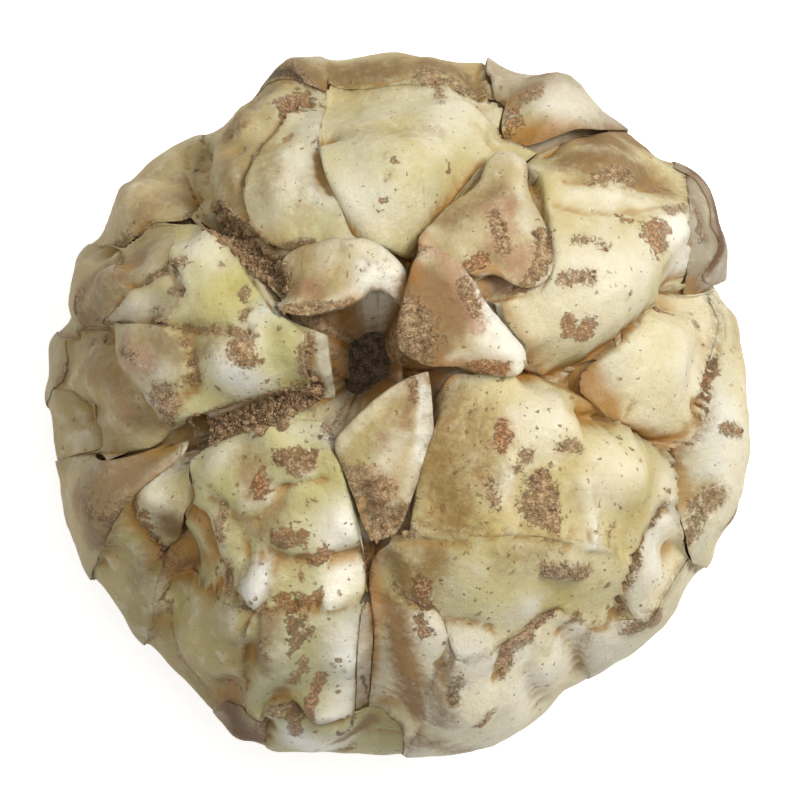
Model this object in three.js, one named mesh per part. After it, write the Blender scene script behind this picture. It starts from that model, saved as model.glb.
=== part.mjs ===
// A lily bulb with six noses, millimetres, +Z up. East is +X and north is +Y.
//
// The fleshy scales of all the noses grow from one basal plate and close over their hearts, round the pit where the
// old stem stood. They are laid from the inside out: each scale rests on what is already there, spans the narrow
// hollows below it, and leaves a small gap, so no two pieces share any space.
//
// Every piece is seen from one point, the top of the old stem's foot. A direction from it is a spot on a flat chart,
// in degrees: straight up is the chart's middle and straight down is its rim. A relief holds, for each cell of the
// chart, how far from that point the pieces laid so far reach.
import * as THREE from "three";

// ---- Driving dimensions -------------------------------------------------------------------------------------
const RADIUS = 50; // of the bulb
const HEIGHT = 57; // from the cut face of the basal plate to the crown
const WIDEST = 26; // height of the widest level
const STEM_FOOT = new THREE.Vector3(-4, 5, 29);
const PIT = { x: -5, y: 6.5, floor: 33, floorRadius: 6, mouthRadius: 8 };
const PLATE_RADIUS = 11.5; // of the basal plate's cut face
const FOOT_RADIUS = 13.4; // at which the lowest scales leave the basal plate
const FOOT_SHARE = 0.5; // of a scale's angle round the bulb that its foot takes up
const FOOT_SPACING = 1.4; // how much higher than that a scale leaves it, for each mm that it lies deeper
const LEAN = new THREE.Vector3(STEM_FOOT.x, STEM_FOOT.y, 0).divideScalar(STEM_FOOT.z); // of the basal plate, per mm
const GAP = 0.35; // free space between neighbouring pieces
const EDGE = 0.9; // thickness of a scale's margin
const THIN = 1.5; // least and greatest thickness of a scale's body
const THICK = 14;
const TAPER = 9; // distance from its margin at which a scale has its body's thickness
const FALL = 6; // most that a margin on the crown falls below its own level
const CLEARANCE = 3.6; // of the outermost scales over the ground

// ---- The bulb's outer form ----------------------------------------------------------------------------------
// It has levels, one inside another: level 0 is the outside, and level 5 lies 5 mm deeper.
const CROWN_POWER = 2.6;
const BOWL_POWER = 2.2;
const lowest = (level) => CLEARANCE + 0.8 * level;

function crownHeight(r, level) {
  const share = Math.min(0.999, r / (RADIUS - level));
  return WIDEST + (HEIGHT - level - WIDEST) * Math.sqrt(1 - share ** CROWN_POWER);
}

function flankRadius(z, level) {
  if (z > WIDEST) return (RADIUS - level) * (1 - ((z - WIDEST) / (HEIGHT - level - WIDEST)) ** 2) ** (1 / CROWN_POWER);
  return (RADIUS - level) * (1 - ((WIDEST - z) / (WIDEST - lowest(level))) ** 3) ** (1 / BOWL_POWER);
}

function isInside(p, level) {
  const share = Math.hypot(p.x, p.y) / (RADIUS - level);
  if (p.z > WIDEST) return share ** CROWN_POWER + ((p.z - WIDEST) / (HEIGHT - level - WIDEST)) ** 2 < 1;
  return share ** BOWL_POWER + ((WIDEST - p.z) / (WIDEST - lowest(level))) ** 3 < 1;
}

const crownPoint = ([x, y], level) => new THREE.Vector3(x, y, crownHeight(Math.hypot(x, y), level));

// Where a margin comes to rest on its bed at [x, y], at most so far below its own level.
function restingPoint(p, level, bed, fall) {
  const point = crownPoint(p, level);
  const lowestZ = point.z - fall;
  point.z += 3;
  while (point.z > lowestZ && point.distanceTo(STEM_FOOT) > read(bed, toChart(point)) + GAP + EDGE) point.z -= 0.3;
  return point;
}

function polar(azimuth, radius, z) {
  const a = THREE.MathUtils.degToRad(azimuth);
  return new THREE.Vector3(radius * Math.cos(a), radius * Math.sin(a), z);
}

// A place on the form: [x, y] on its crown, { az, rise } on its flank, where rise goes from 0 at its lowest to 1 at
// its widest, or { foot } where a scale leaves the basal plate. The deeper a scale lies, the higher it leaves it.
function place(p, level, tuck = 0, bed = null, fall = 0) {
  if (Array.isArray(p)) return fall ? restingPoint(p, level, bed, fall) : crownPoint(p, level);
  const depth = level + tuck;
  if ("az" in p) {
    const z = THREE.MathUtils.lerp(lowest(depth), WIDEST, p.rise);
    return polar(p.az, flankRadius(z, depth), z);
  }
  const z = CLEARANCE + 0.6 + FOOT_SPACING * depth;
  return polar(p.foot, FOOT_RADIUS - 0.25 * z, z).addScaledVector(LEAN, z);
}

// The start of a scale's two sides, which spread as they climb the flank from its narrow foot to two azimuths.
function climb(azimuths) {
  const middle = (azimuths[0] + azimuths[1]) / 2;
  return azimuths.map((az) => {
    const foot = THREE.MathUtils.lerp(middle, az, FOOT_SHARE);
    return [{ foot }, { az: (foot + az) / 2, rise: 0.25 }, { az, rise: 0.75 }];
  });
}

// ---- The chart ----------------------------------------------------------------------------------------------
const CHART_REACH = 170; // degrees from straight up that the chart covers
const CELL = 1.2; // degrees
const SIDE = Math.round((2 * CHART_REACH) / CELL) + 1; // cells along a side
const MM_PER_DEGREE = 0.7; // at the bulb's surface
const TUCK_TILTS = [56, 84]; // degrees from straight up between which the inner scales go in under the outer ones

function toChart(point) {
  const d = point.clone().sub(STEM_FOOT);
  const flat = Math.max(1e-9, Math.hypot(d.x, d.y));
  const tilt = THREE.MathUtils.radToDeg(Math.atan2(flat, d.z));
  return new THREE.Vector2(d.x, d.y).multiplyScalar(tilt / flat);
}

function fromChart(x, y) {
  const tilt = Math.max(1e-9, Math.hypot(x, y));
  const t = THREE.MathUtils.degToRad(tilt);
  return new THREE.Vector3((x * Math.sin(t)) / tilt, (y * Math.sin(t)) / tilt, Math.cos(t));
}

const at = (spot, reach) => fromChart(spot.x, spot.y).multiplyScalar(reach).add(STEM_FOOT);

// How far the form reaches at a spot. tuck is how much deeper than its level the form lies on the flank.
function formReach(spot, level, tuck = 0) {
  const depth = level + tuck * THREE.MathUtils.smoothstep(Math.hypot(spot.x, spot.y), ...TUCK_TILTS);
  let [near, far] = [0, 2 * RADIUS];
  while (far - near > 0.01) {
    const middle = (near + far) / 2;
    if (isInside(at(spot, middle), depth)) near = middle;
    else far = middle;
  }
  return near;
}

const toCell = (degrees) => (degrees + CHART_REACH) / CELL;
const toDegrees = (cell) => cell * CELL - CHART_REACH;

// Reads a relief between its cells.
function read(relief, spot) {
  const cx = THREE.MathUtils.clamp(toCell(spot.x), 0, SIDE - 1.001);
  const cy = THREE.MathUtils.clamp(toCell(spot.y), 0, SIDE - 1.001);
  const [i, j] = [Math.floor(cx), Math.floor(cy)];
  const k = j * SIDE + i;
  const south = THREE.MathUtils.lerp(relief[k], relief[k + 1], cx - i);
  const north = THREE.MathUtils.lerp(relief[k + SIDE], relief[k + SIDE + 1], cx - i);
  return THREE.MathUtils.lerp(south, north, cy - j);
}

// Calls visit(cell, reach, weights) for each cell that a triangle covers, as seen from the stem's foot.
function eachCell(triangle, visit) {
  const reaches = triangle.map((p) => p.distanceTo(STEM_FOOT));
  const rays = triangle.map((p, n) => p.clone().sub(STEM_FOOT).divideScalar(reaches[n]));
  const [a, b, c] = rays;
  const toWeights = new THREE.Matrix3().set(a.x, b.x, c.x, a.y, b.y, c.y, a.z, b.z, c.z);
  if (Math.abs(toWeights.determinant()) < 1e-9) return;
  toWeights.invert();
  const corners = triangle.map(toChart);
  const low = corners[0].clone().min(corners[1]).min(corners[2]).subScalar(3 * CELL);
  const high = corners[0].clone().max(corners[1]).max(corners[2]).addScalar(3 * CELL);
  for (let j = Math.max(0, Math.ceil(toCell(low.y))); j <= Math.min(SIDE - 1, toCell(high.y)); j++) {
    for (let i = Math.max(0, Math.ceil(toCell(low.x))); i <= Math.min(SIDE - 1, toCell(high.x)); i++) {
      const weights = fromChart(toDegrees(i), toDegrees(j)).applyMatrix3(toWeights).toArray();
      if (Math.min(...weights) < 0) continue;
      const reach = 1 / weights.reduce((sum, w, n) => sum + w / reaches[n], 0);
      visit(j * SIDE + i, reach, weights);
    }
  }
}

// Raises a relief to the triangles, and one cell past them.
function raise(relief, triangles) {
  const stamp = new Float32Array(SIDE * SIDE);
  for (const triangle of triangles) {
    eachCell(triangle, (cell, reach) => {
      stamp[cell] = Math.max(stamp[cell], reach);
    });
  }
  for (let j = 1; j < SIDE - 1; j++) {
    for (let i = 1; i < SIDE - 1; i++) {
      for (const row of [j - 1, j, j + 1]) {
        const k = row * SIDE + i;
        relief[j * SIDE + i] = Math.max(relief[j * SIDE + i], stamp[k - 1], stamp[k], stamp[k + 1]);
      }
    }
  }
}

// Filters a relief along its rows and then its columns. pick gets the values of so many cells each way.
function filtered(relief, cells, pick) {
  let from = relief;
  for (const [stride, across] of [
    [1, SIDE],
    [SIDE, 1],
  ]) {
    const to = new Float32Array(SIDE * SIDE);
    for (let line = 0; line < SIDE; line++) {
      for (let i = 0; i < SIDE; i++) {
        const k = line * across + i * stride;
        to[k] = pick(from, k, stride, Math.max(-cells, -i), Math.min(cells, SIDE - 1 - i));
      }
    }
    from = to;
  }
  return from;
}

// Fills what is hollow in a relief, so that it bends up no tighter than the given radius.
function spanned(relief, radius) {
  const sag = (CELL * MM_PER_DEGREE) ** 2 / (2 * radius);
  const cells = Math.ceil(Math.sqrt(14 / sag));
  const widened = filtered(relief, cells, (values, k, stride, first, last) => {
    let most = -Infinity;
    for (let n = first; n <= last; n++) most = Math.max(most, values[k + n * stride] - n * n * sag);
    return most;
  });
  return filtered(widened, cells, (values, k, stride, first, last) => {
    let least = Infinity;
    for (let n = first; n <= last; n++) least = Math.min(least, values[k + n * stride] + n * n * sag);
    return least;
  });
}

function blurred(relief, mm) {
  const mean = (values, k, stride, first, last) => {
    let sum = 0;
    for (let n = first; n <= last; n++) sum += values[k + n * stride];
    return sum / (last - first + 1);
  };
  const cells = Math.round(mm / (CELL * MM_PER_DEGREE));
  return filtered(filtered(relief, cells, mean), cells, mean);
}

// ---- Building a piece ---------------------------------------------------------------------------------------
// Even steps from 0 to 1, bent by a function.
const steps = (count, bend) => Array.from({ length: count + 1 }, (_, i) => bend(i / count));
const closerAtEnds = (t) => 0.45 * t + 0.55 * (0.5 - 0.5 * Math.cos(Math.PI * t));
const closerAtTip = (t) => 1 - (1 - t) ** 1.3;

const mapGrid = (grid, make) => grid.map((row, i) => row.map((value, j) => make(value, i, j)));

// The spots of a piece between its two sides, from its base to its tip: spots[i][j], with i along and j across.
// Its tip and its heel can reach past the line between the ends of the sides. inset is the share of its width that it
// leaves free at each side.
function layOut({ flank, low, high, tip, heel, level = 0, tuck = 0, bed, fall, inset = 0, grid }) {
  const ray = (p) => place(p, level, tuck, bed, fall).sub(STEM_FOOT).normalize();
  const starts = flank ? climb(flank) : [[], []];
  const [a, b] = [low, high].map((side, n) => {
    const rays = [...starts[n], ...side].map(ray);
    return new THREE.CatmullRomCurve3(rays, false, "centripetal");
  });
  const pull = (end, target) => {
    const between = a.getPoint(end).add(b.getPoint(end)).normalize();
    return target ? ray(target).sub(between) : new THREE.Vector3();
  };
  const [toTip, toHeel] = [pull(1, tip), pull(0, heel)];
  const columns = steps(grid[1], closerAtEnds);
  return steps(grid[0], closerAtTip).map((u) => {
    const [p, q] = [a.getPointAt(u), b.getPointAt(u)];
    return columns.map((v) => {
      const arch = 1 - (2 * v - 1) ** 2;
      const spot = p.clone().lerp(q, inset + (1 - 2 * inset) * v).normalize();
      spot.addScaledVector(toTip, arch * u ** 4).addScaledVector(toHeel, arch * (1 - u) ** 4);
      return { u, v, ...toChart(spot.add(STEM_FOOT)) };
    });
  });
}

// The two triangles of each cell of a grid of points.
function gridTriangles(points) {
  const triangles = [];
  for (let i = 0; i + 1 < points.length; i++) {
    for (let j = 0; j + 1 < points[i].length; j++) {
      const [a, b, c, d] = [points[i][j], points[i + 1][j], points[i + 1][j + 1], points[i][j + 1]];
      triangles.push([a, b, c], [a, c, d]);
    }
  }
  return triangles;
}

// Lifts the underside's grid of reaches until its triangles clear the relief by the gap.
function clear(spots, under, relief) {
  const places = mapGrid(spots, (_, i, j) => [i, j]);
  for (let round = 0; round < 14; round++) {
    const lift = mapGrid(spots, () => 0);
    for (const corners of gridTriangles(places)) {
      const points = corners.map(([i, j]) => at(spots[i][j], under[i][j]));
      eachCell(points, (cell, reach, weights) => {
        const short = relief[cell] + GAP - reach;
        if (short <= 0.01) return;
        const spread = weights.reduce((sum, w) => sum + w * w, 0);
        corners.forEach(([i, j], n) => {
          lift[i][j] = Math.max(lift[i][j], (short * weights[n]) / spread);
        });
      });
    }
    for (const [i, row] of under.entries()) row.forEach((_, j) => (row[j] += lift[i][j]));
    if (Math.max(...lift.flat()) < 0.02) return;
  }
}

// A closed body between two grids of points.
function shell(outer, inner) {
  const [rows, columns] = [outer.length, outer[0].length];
  const top = (i, j) => i * columns + j;
  const bottom = (i, j) => rows * columns + top(i, j);
  const index = [];
  const quad = (a, b, c, d) => index.push(a, b, c, a, c, d);
  for (let i = 0; i + 1 < rows; i++) {
    for (let j = 0; j + 1 < columns; j++) {
      quad(top(i, j), top(i, j + 1), top(i + 1, j + 1), top(i + 1, j));
      quad(bottom(i, j), bottom(i + 1, j), bottom(i + 1, j + 1), bottom(i, j + 1));
    }
    quad(top(i, 0), top(i + 1, 0), bottom(i + 1, 0), bottom(i, 0));
    quad(top(i, columns - 1), bottom(i, columns - 1), bottom(i + 1, columns - 1), top(i + 1, columns - 1));
  }
  for (let j = 0; j + 1 < columns; j++) {
    quad(top(0, j), bottom(0, j), bottom(0, j + 1), top(0, j + 1));
    quad(top(rows - 1, j), top(rows - 1, j + 1), bottom(rows - 1, j + 1), bottom(rows - 1, j));
  }
  const points = [...outer.flat(), ...inner.flat()];
  if (volume(points, index) < 0) index.reverse();
  const geometry = new THREE.BufferGeometry().setFromPoints(points);
  geometry.setIndex(index);
  geometry.computeVertexNormals();
  return geometry;
}

function volume(points, index) {
  let sum = 0;
  for (let k = 0; k < index.length; k += 3) {
    const [a, b, c] = [0, 1, 2].map((n) => points[index[k + n]]);
    sum += a.dot(b.clone().cross(c)) / 6;
  }
  return sum;
}

const bulb = new THREE.Group();
bulb.name = "lily_bulb";

function addPiece(name, geometry, { color, roughness }) {
  const mesh = new THREE.Mesh(geometry, new THREE.MeshStandardMaterial({ color, roughness, metalness: 0 }));
  mesh.name = name;
  bulb.add(mesh);
}

// ---- Finishes -----------------------------------------------------------------------------------------------
const FLESH = { color: 0xe3d9b4, roughness: 0.45 };
const SHADED_FLESH = { color: 0xc9b98c, roughness: 0.5 };
const BROWN_FLESH = { color: 0x9c8a68, roughness: 0.6 };
const PLATE = { color: 0xa98d63, roughness: 0.8 };
const SOIL = { color: 0x8a7258, roughness: 0.95 };

// ---- The basal plate ----------------------------------------------------------------------------------------
// The short, thick stem that carries every scale, cut flat below. The old stem's foot leans out of it to the pit.
const PLATE_OUTLINE = [
  [0, 0],
  [PLATE_RADIUS, 0],
  [PLATE_RADIUS + 0.9, 2],
  [PLATE_RADIUS - 0.5, 8],
  [9, 14],
  [7, 22],
  [6.5, 28],
  [4.5, PIT.floor - 2],
  [0, PIT.floor - 1.5],
];
const PLATE_SIDES = 24;

function basalPlate() {
  const outline = PLATE_OUTLINE.map(([r, z]) => new THREE.Vector2(r, z));
  const geometry = new THREE.LatheGeometry(outline, PLATE_SIDES).rotateX(Math.PI / 2);
  const lean = new THREE.Matrix4().set(
    ...[1, 0, LEAN.x, 0],
    ...[0, 1, LEAN.y, 0],
    ...[0, 0, 1, 0],
    ...[0, 0, 0, 1],
  );
  return geometry.applyMatrix4(lean);
}

// A lathe's triangles, but for those on the ground, which nothing rests on.
function trianglesOf(geometry) {
  const p = geometry.getAttribute("position");
  const corner = (k) => new THREE.Vector3().fromBufferAttribute(p, geometry.index.getX(k));
  const all = Array.from({ length: geometry.index.count / 3 }, (_, t) => [0, 1, 2].map((n) => corner(3 * t + n)));
  return all.filter((triangle) => triangle.every((point) => point.z > 1));
}

const relief = new Float32Array(SIDE * SIDE);
const plate = basalPlate();
addPiece("basal_plate", plate, PLATE);
raise(relief, trianglesOf(plate));

// ---- Laying a scale -----------------------------------------------------------------------------------------
const round01 = (t) => {
  const c = THREE.MathUtils.clamp(t, 0, 1);
  return c * (2 - c);
};

// The share of its thickness that a scale has at a spot: none at its margins, and little where it leaves the plate.
function bodyShare(points, spots, i, j, taper) {
  const row = points[i];
  const width = row[0].distanceTo(row.at(-1));
  const toSide = Math.min(spots[i][j].v, 1 - spots[i][j].v) * width;
  const toTip = points[i][j].distanceTo(points.at(-1)[j]);
  const foot = 0.3 + 0.7 * round01(spots[i][j].u / 0.3);
  return foot * round01(toSide / Math.min(taper, width / 2)) * round01(toTip / taper);
}

// How far a scale's own swellings raise it at a point. Each swelling is [x, y, radius, rise] on the crown.
function swelling(point, swells, level) {
  return swells.reduce((sum, [x, y, radius, rise]) => {
    const away = point.distanceTo(place([x, y], level)) / radius;
    return sum + rise * Math.exp(-away * away);
  }, 0);
}

// Sizes of a scale's grid, along it and across it, where they differ from the usual one.
const LARGE = [11, 7];
const NARROW = [11, 3];
const SMALL = [6, 5];

// low and high are a scale's two sides from its base to its tip. level is how deep its body lies in the bulb's form,
// and span is the tightest hollow that it follows.
function layScale(name, scale, finish) {
  const { level = 0, tuck = 0, span = 14, taper = TAPER, swells = [], grid = [10, 5] } = scale;
  const bed = blurred(spanned(relief, span), 2);
  const spots = layOut({ fall: FALL, ...scale, bed, grid });
  const under = mapGrid(spots, (spot) => Math.max(read(bed, spot), read(relief, spot)) + GAP);
  const form = mapGrid(spots, (spot) => at(spot, formReach(spot, level, tuck)));
  const natural = mapGrid(spots, (spot, i, j) => {
    const target = form[i][j].distanceTo(STEM_FOOT) + swelling(form[i][j], swells, level);
    const body = THREE.MathUtils.clamp(target - under[i][j], THIN, THICK);
    return under[i][j] + EDGE + (body - EDGE) * bodyShare(form, spots, i, j, taper);
  });
  clear(spots, under, relief);
  const outer = mapGrid(spots, (spot, i, j) => at(spot, Math.max(natural[i][j], under[i][j] + EDGE)));
  addPiece(name, shell(outer, mapGrid(spots, (spot, i, j) => at(spot, under[i][j]))), finish);
  raise(relief, gridTriangles(outer));
}

// ---- The pit ------------------------------------------------------------------------------------------------
// The free space above the old stem's foot, which the scales round it keep out of.
function pitSpace() {
  const outline = [
    [PIT.floorRadius, PIT.floor - 6],
    [PIT.floorRadius, PIT.floor],
    [PIT.mouthRadius, HEIGHT - 8],
    [PIT.mouthRadius, HEIGHT - 2.5],
    [0, HEIGHT - 2],
  ];
  const space = new THREE.LatheGeometry(
    outline.map(([r, z]) => new THREE.Vector2(r, z)),
    PLATE_SIDES,
  );
  return space.rotateX(Math.PI / 2).translate(PIT.x, PIT.y, 0);
}

layScale("pit_soil", {
  level: 21,
  fall: 0,
  low: [[-10, 5], [-7.5, 1.8], [-3, 1.2], [0.2, 4.5]],
  high: [[-10, 8], [-7.5, 11.2], [-3, 11.8], [0.2, 8.5]],
  tip: [0.9, 6.5],
  heel: [-10.7, 6.5],
  swells: [
    [-6.5, 4, 2, 1.2],
    [-3, 8.5, 2.2, 1],
    [-8.5, 9, 2, -0.6],
  ],
  grid: SMALL,
  taper: 2.5,
}, SOIL);
raise(relief, trianglesOf(pitSpace()));

// ---- The hearts ---------------------------------------------------------------------------------------------
// The tight inner scales of each nose, as one bud between two of the crevices that part the noses.
const HEART_LEVEL = 6;
const HEART_TUCK = 6;
const CREVICE_DEPTH = 9;
const CREVICES = {
  west_north: { az: 137, crown: [[-29, 29], [-23, 23], [-18, 18], [-14, 14]] },
  north_northeast: { az: 62, crown: [[17, 33], [11, 28], [5, 21], [2, 15]] },
  northeast_east: { az: 25, crown: [[36, 18], [31, 12], [26, 6], [20, 4]] },
  east_southeast: { az: -17, crown: [[37, -9], [31, -5], [26, -1], [20, 2]] },
  southeast_southwest: { az: 268, crown: [[-3, -36], [-3, -21], [-4, -12], [-4, -6]] },
  southwest_west: { az: 206, crown: [[-34, -11], [-27, -5], [-20, -2], [-14, 0]] },
};
const HEARTS = {
  west: ["west_north", "southwest_west"],
  north: ["north_northeast", "west_north"],
  northeast: ["northeast_east", "north_northeast"],
  east: ["east_southeast", "northeast_east"],
  southeast: ["southeast_southwest", "east_southeast"],
  southwest: ["southwest_west", "southeast_southwest"],
};

function heartShell(sides) {
  const [low, high] = sides.map((name) => {
    const { az, crown } = CREVICES[name];
    return [{ foot: az }, { az, rise: 0.25 }, { az, rise: 0.75 }, ...crown];
  });
  const spots = layOut({ low, high, level: HEART_LEVEL, tuck: HEART_TUCK, inset: 0.05, grid: [10, 5] });
  const under = mapGrid(spots, (spot) => read(relief, spot) + GAP);
  clear(spots, under, relief);
  const outer = mapGrid(spots, (spot, i, j) => {
    const edge = Math.abs(2 * spot.v - 1) ** 2.6 + 0.8 * spot.u ** 10;
    const reach = formReach(spot, HEART_LEVEL, HEART_TUCK) - CREVICE_DEPTH * Math.min(1, edge);
    return at(spot, Math.max(reach, under[i][j] + THIN));
  });
  return { outer, inner: mapGrid(spots, (spot, i, j) => at(spot, under[i][j])) };
}

const hearts = Object.entries(HEARTS).map(([nose, sides]) => ({ nose, ...heartShell(sides) }));
for (const { nose, outer, inner } of hearts) addPiece(`${nose}_heart`, shell(outer, inner), SHADED_FLESH);
for (const { outer } of hearts) raise(relief, gridTriangles(outer));

// ---- Scales and soil, from the inside out -------------------------------------------------------------------

// North nose: a scale in the hollow at its west side, two broad bulging ones, and one over their west side.
layScale("north_scale_1", {
  level: 3.5,
  tuck: 2,
  flank: [116, 140],
  low: [[-20, 42], [-22, 34], [-22, 27]],
  high: [[-34, 35], [-33, 30], [-27, 24]],
  grid: NARROW,
}, SHADED_FLESH);
layScale("north_scale_2", {
  level: 0.8,
  tuck: 4.5,
  flank: [64, 106],
  low: [[22, 42], [21, 37], [16, 31], [9, 25], [3, 20]],
  high: [[-16, 44], [-15, 36], [-13, 29], [-9, 23], [-5, 19]],
  swells: [
    [-3, 29, 8, 1.2],
    [9, 40, 6, 1],
  ],
  grid: LARGE,
}, FLESH);
layScale("north_scale_3", {
  level: 0.8,
  tuck: 5,
  flank: [103, 120],
  low: [[-11, 43], [-12, 37], [-11.3, 31], [-9, 26], [-6, 22]],
  high: [[-24, 38], [-25, 32], [-24, 26], [-20.5, 21], [-16, 19.5]],
}, FLESH);
layScale("north_scale_4", {
  level: 0.3,
  tuck: 2,
  flank: [112, 128],
  low: [[-12, 47], [-13, 43], [-16, 39.5], [-20, 35.5], [-22, 31], [-22, 26]],
  high: [[-28, 38.5], [-27, 34], [-26, 29], [-24, 25.5]],
  taper: 6,
}, FLESH);

// East nose: its one big scale.
layScale("east_scale_1", {
  level: 1.5,
  tuck: 4,
  flank: [-18, 26],
  low: [[43, -13], [37, -9], [30, -5], [25, -1]],
  high: [[44, 19], [37, 18], [31, 13], [26, 7]],
  grid: LARGE,
}, FLESH);

// Northeast nose: its big scale, whose flank shows on the rim.
layScale("northeast_scale_1", {
  level: 0.8,
  tuck: 0,
  flank: [20, 64],
  low: [[44, 20], [38.5, 17.5], [35, 14.5], [32, 10.5], [29, 6.8], [25, 4], [21, 3.4]],
  high: [[27, 42], [24, 39], [19.5, 33.5], [13, 27], [9, 18], [11, 9], [16, 4.5]],
  grid: LARGE,
}, FLESH);

// West nose: a scale in the pit's wall, the big lumpy one, and three that overlap it from the west.
layScale("west_scale_1", {
  level: 3,
  low: [[-24, 12], [-17, 11.5], [-10, 9.5]],
  high: [[-24, 1], [-16, 0.5], [-9.5, 0.5]],
  grid: SMALL,
}, SHADED_FLESH);
layScale("west_scale_2", {
  level: 0.5,
  tuck: 6,
  flank: [152, 184],
  low: [[-37, 27], [-33, 25.8], [-29, 26], [-25, 24.6], [-21, 20], [-18, 14.5], [-13, 9.5]],
  high: [[-42, -6], [-33, -3.5], [-25, -1.2], [-18, 0], [-13.5, 2.5]],
  swells: [
    [-28, 21, 5, 1.6],
    [-23, 14, 5, 1.2],
    [-20, 6, 5, 1.5],
    [-31, 10, 4, -0.8],
  ],
  grid: LARGE,
}, FLESH);
layScale("west_scale_3", {
  level: 0.6,
  tuck: 4,
  flank: [159, 170],
  low: [[-46, 15], [-40, 16.5], [-35.5, 18.5], [-32.5, 20]],
  high: [[-47, 8.5], [-41, 10.5], [-36, 11.8], [-32, 13]],
  tip: [-31, 17],
}, FLESH);
layScale("west_scale_4", {
  level: 0.6,
  tuck: 3.5,
  flank: [150, 163],
  low: [[-42.5, 23], [-39, 24.5], [-36, 26], [-33, 25]],
  high: [[-46.5, 12.5], [-41, 14.5], [-37, 16.5], [-33.5, 20]],
  tip: [-32.3, 23],
}, FLESH);
layScale("west_scale_5", {
  level: 0.4,
  tuck: 1,
  flank: [166, 192],
  low: [[-46.5, 10.5], [-41, 10.6], [-36, 10.2], [-32.5, 9.5]],
  high: [[-47, -8.5], [-41, -9], [-37.5, -8], [-35, -5.5]],
  tip: [-31, 2.5],
}, FLESH);

// Southwest nose: a brown scale in the hollow at its west side, the big lumpy one, and a narrow pale one.
layScale("southwest_scale_1", {
  level: 3.5,
  tuck: 3,
  flank: [208, 234],
  low: [[-38, -14], [-31, -13], [-26, -14]],
  high: [[-28, -35], [-26, -29], [-22, -26]],
}, BROWN_FLESH);
layScale("southwest_scale_2", {
  level: 0.7,
  tuck: 6,
  flank: [230, 262],
  low: [[-26, -36], [-25, -28], [-27, -20], [-30, -12], [-29, -7.5], [-24, -3.8], [-16, -1]],
  high: [[-4, -40], [-3.5, -30], [-3.5, -22], [-5, -12], [-7, -5]],
  grid: LARGE,
}, FLESH);
layScale("southwest_scale_3", {
  level: 0.8,
  tuck: 4,
  flank: [204, 216],
  low: [[-40, -16], [-37, -11], [-34, -8.8]],
  high: [[-37, -25.5], [-34, -21], [-31.5, -17], [-29.8, -13.5]],
  tip: [-31.3, -9],
}, FLESH);

// Southeast nose: the big upper scale and the one over its lower margin.
layScale("southeast_scale_1", {
  level: 0.3,
  tuck: 5.5,
  flank: [278, 334],
  low: [[2, -38], [0.5, -28], [0, -20], [1.5, -12], [3, -4], [7, 4]],
  high: [[41, -19], [41, -13], [40.5, -8], [37, -5.6], [33, -4], [28.3, -2.8], [26.5, 0.8], [20, 3.6]],
  tip: [13, 5.2],
  grid: LARGE,
}, FLESH);
layScale("southeast_scale_2", {
  level: 0,
  tuck: 3.5,
  flank: [272, 314],
  low: [[-3, -40], [-3.5, -30], [-3, -24], [-1.5, -20.5]],
  high: [[34, -30], [32, -26], [31, -22], [29, -19.8]],
  tip: [13, -18.5],
  grid: LARGE,
}, FLESH);

// The southwest nose's outer scales: a white nub, then three broad ones and a thin folded one.
layScale("southwest_scale_4", {
  level: -0.5,
  low: [[-24, -33], [-24, -28], [-22.5, -25.5], [-21, -22.5]],
  high: [[-18, -33], [-18, -28.5], [-18, -25.5], [-18.5, -22.8]],
  grid: SMALL,
}, FLESH);
layScale("southwest_scale_5", {
  level: 0.3,
  flank: [219, 243],
  low: [[-39, -27], [-36.5, -24.5]],
  high: [[-19, -42], [-19.5, -35], [-21, -28.5]],
  taper: 6,
}, FLESH);
layScale("southwest_scale_6", {
  flank: [205, 223],
  low: [[-44.5, -19], [-42, -14], [-38, -10.5]],
  high: [[-35.5, -31.5], [-35.5, -25], [-36.5, -20], [-36.8, -13]],
  taper: 6,
}, FLESH);
layScale("southwest_scale_7", {
  level: 0.8,
  tuck: 2.5,
  flank: [243, 264],
  low: [[-20.5, -42.5], [-21.5, -36], [-21.5, -31], [-18, -29]],
  high: [[-4, -43.5], [-3.6, -38], [-3, -32], [-5, -30]],
}, FLESH);
layScale("southwest_scale_8", {
  level: 0.8,
  tuck: 2.5,
  flank: [261, 266],
  low: [[-6, -42], [-6, -36], [-5.5, -31.5]],
  high: [[-3.3, -42.5], [-2.9, -36], [-2.5, -31]],
  grid: NARROW,
}, BROWN_FLESH);

// The southeast nose's outer scales.
layScale("southeast_scale_3", {
  level: 0.8,
  flank: [264, 279],
  low: [[-4, -44], [-3.8, -38], [-3, -31]],
  high: [[6.5, -43], [7, -37], [5, -30.5]],
}, BROWN_FLESH);
layScale("southeast_scale_4", {
  fall: 4,
  level: 0.2,
  tuck: 1.5,
  flank: [314, 338],
  low: [[32.5, -31], [32, -26], [34, -21.5], [36, -18.3]],
  high: [[43, -23], [41.5, -19], [40.5, -15.8]],
  tip: [38.4, -14.8],
  taper: 6,
}, FLESH);
layScale("southeast_scale_5", {
  flank: [272, 308],
  low: [[3.5, -44.5], [5.5, -38], [8, -36.5]],
  high: [[32, -35], [28, -33.5], [24, -31]],
  grid: LARGE,
  taper: 6,
}, FLESH);
layScale("southeast_scale_6", {
  level: 0.6,
  fall: 3,
  flank: [304, 334],
  low: [[28.3, -36], [29, -34.5]],
  high: [[41.5, -23.5]],
  taper: 6,
}, FLESH);

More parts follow.
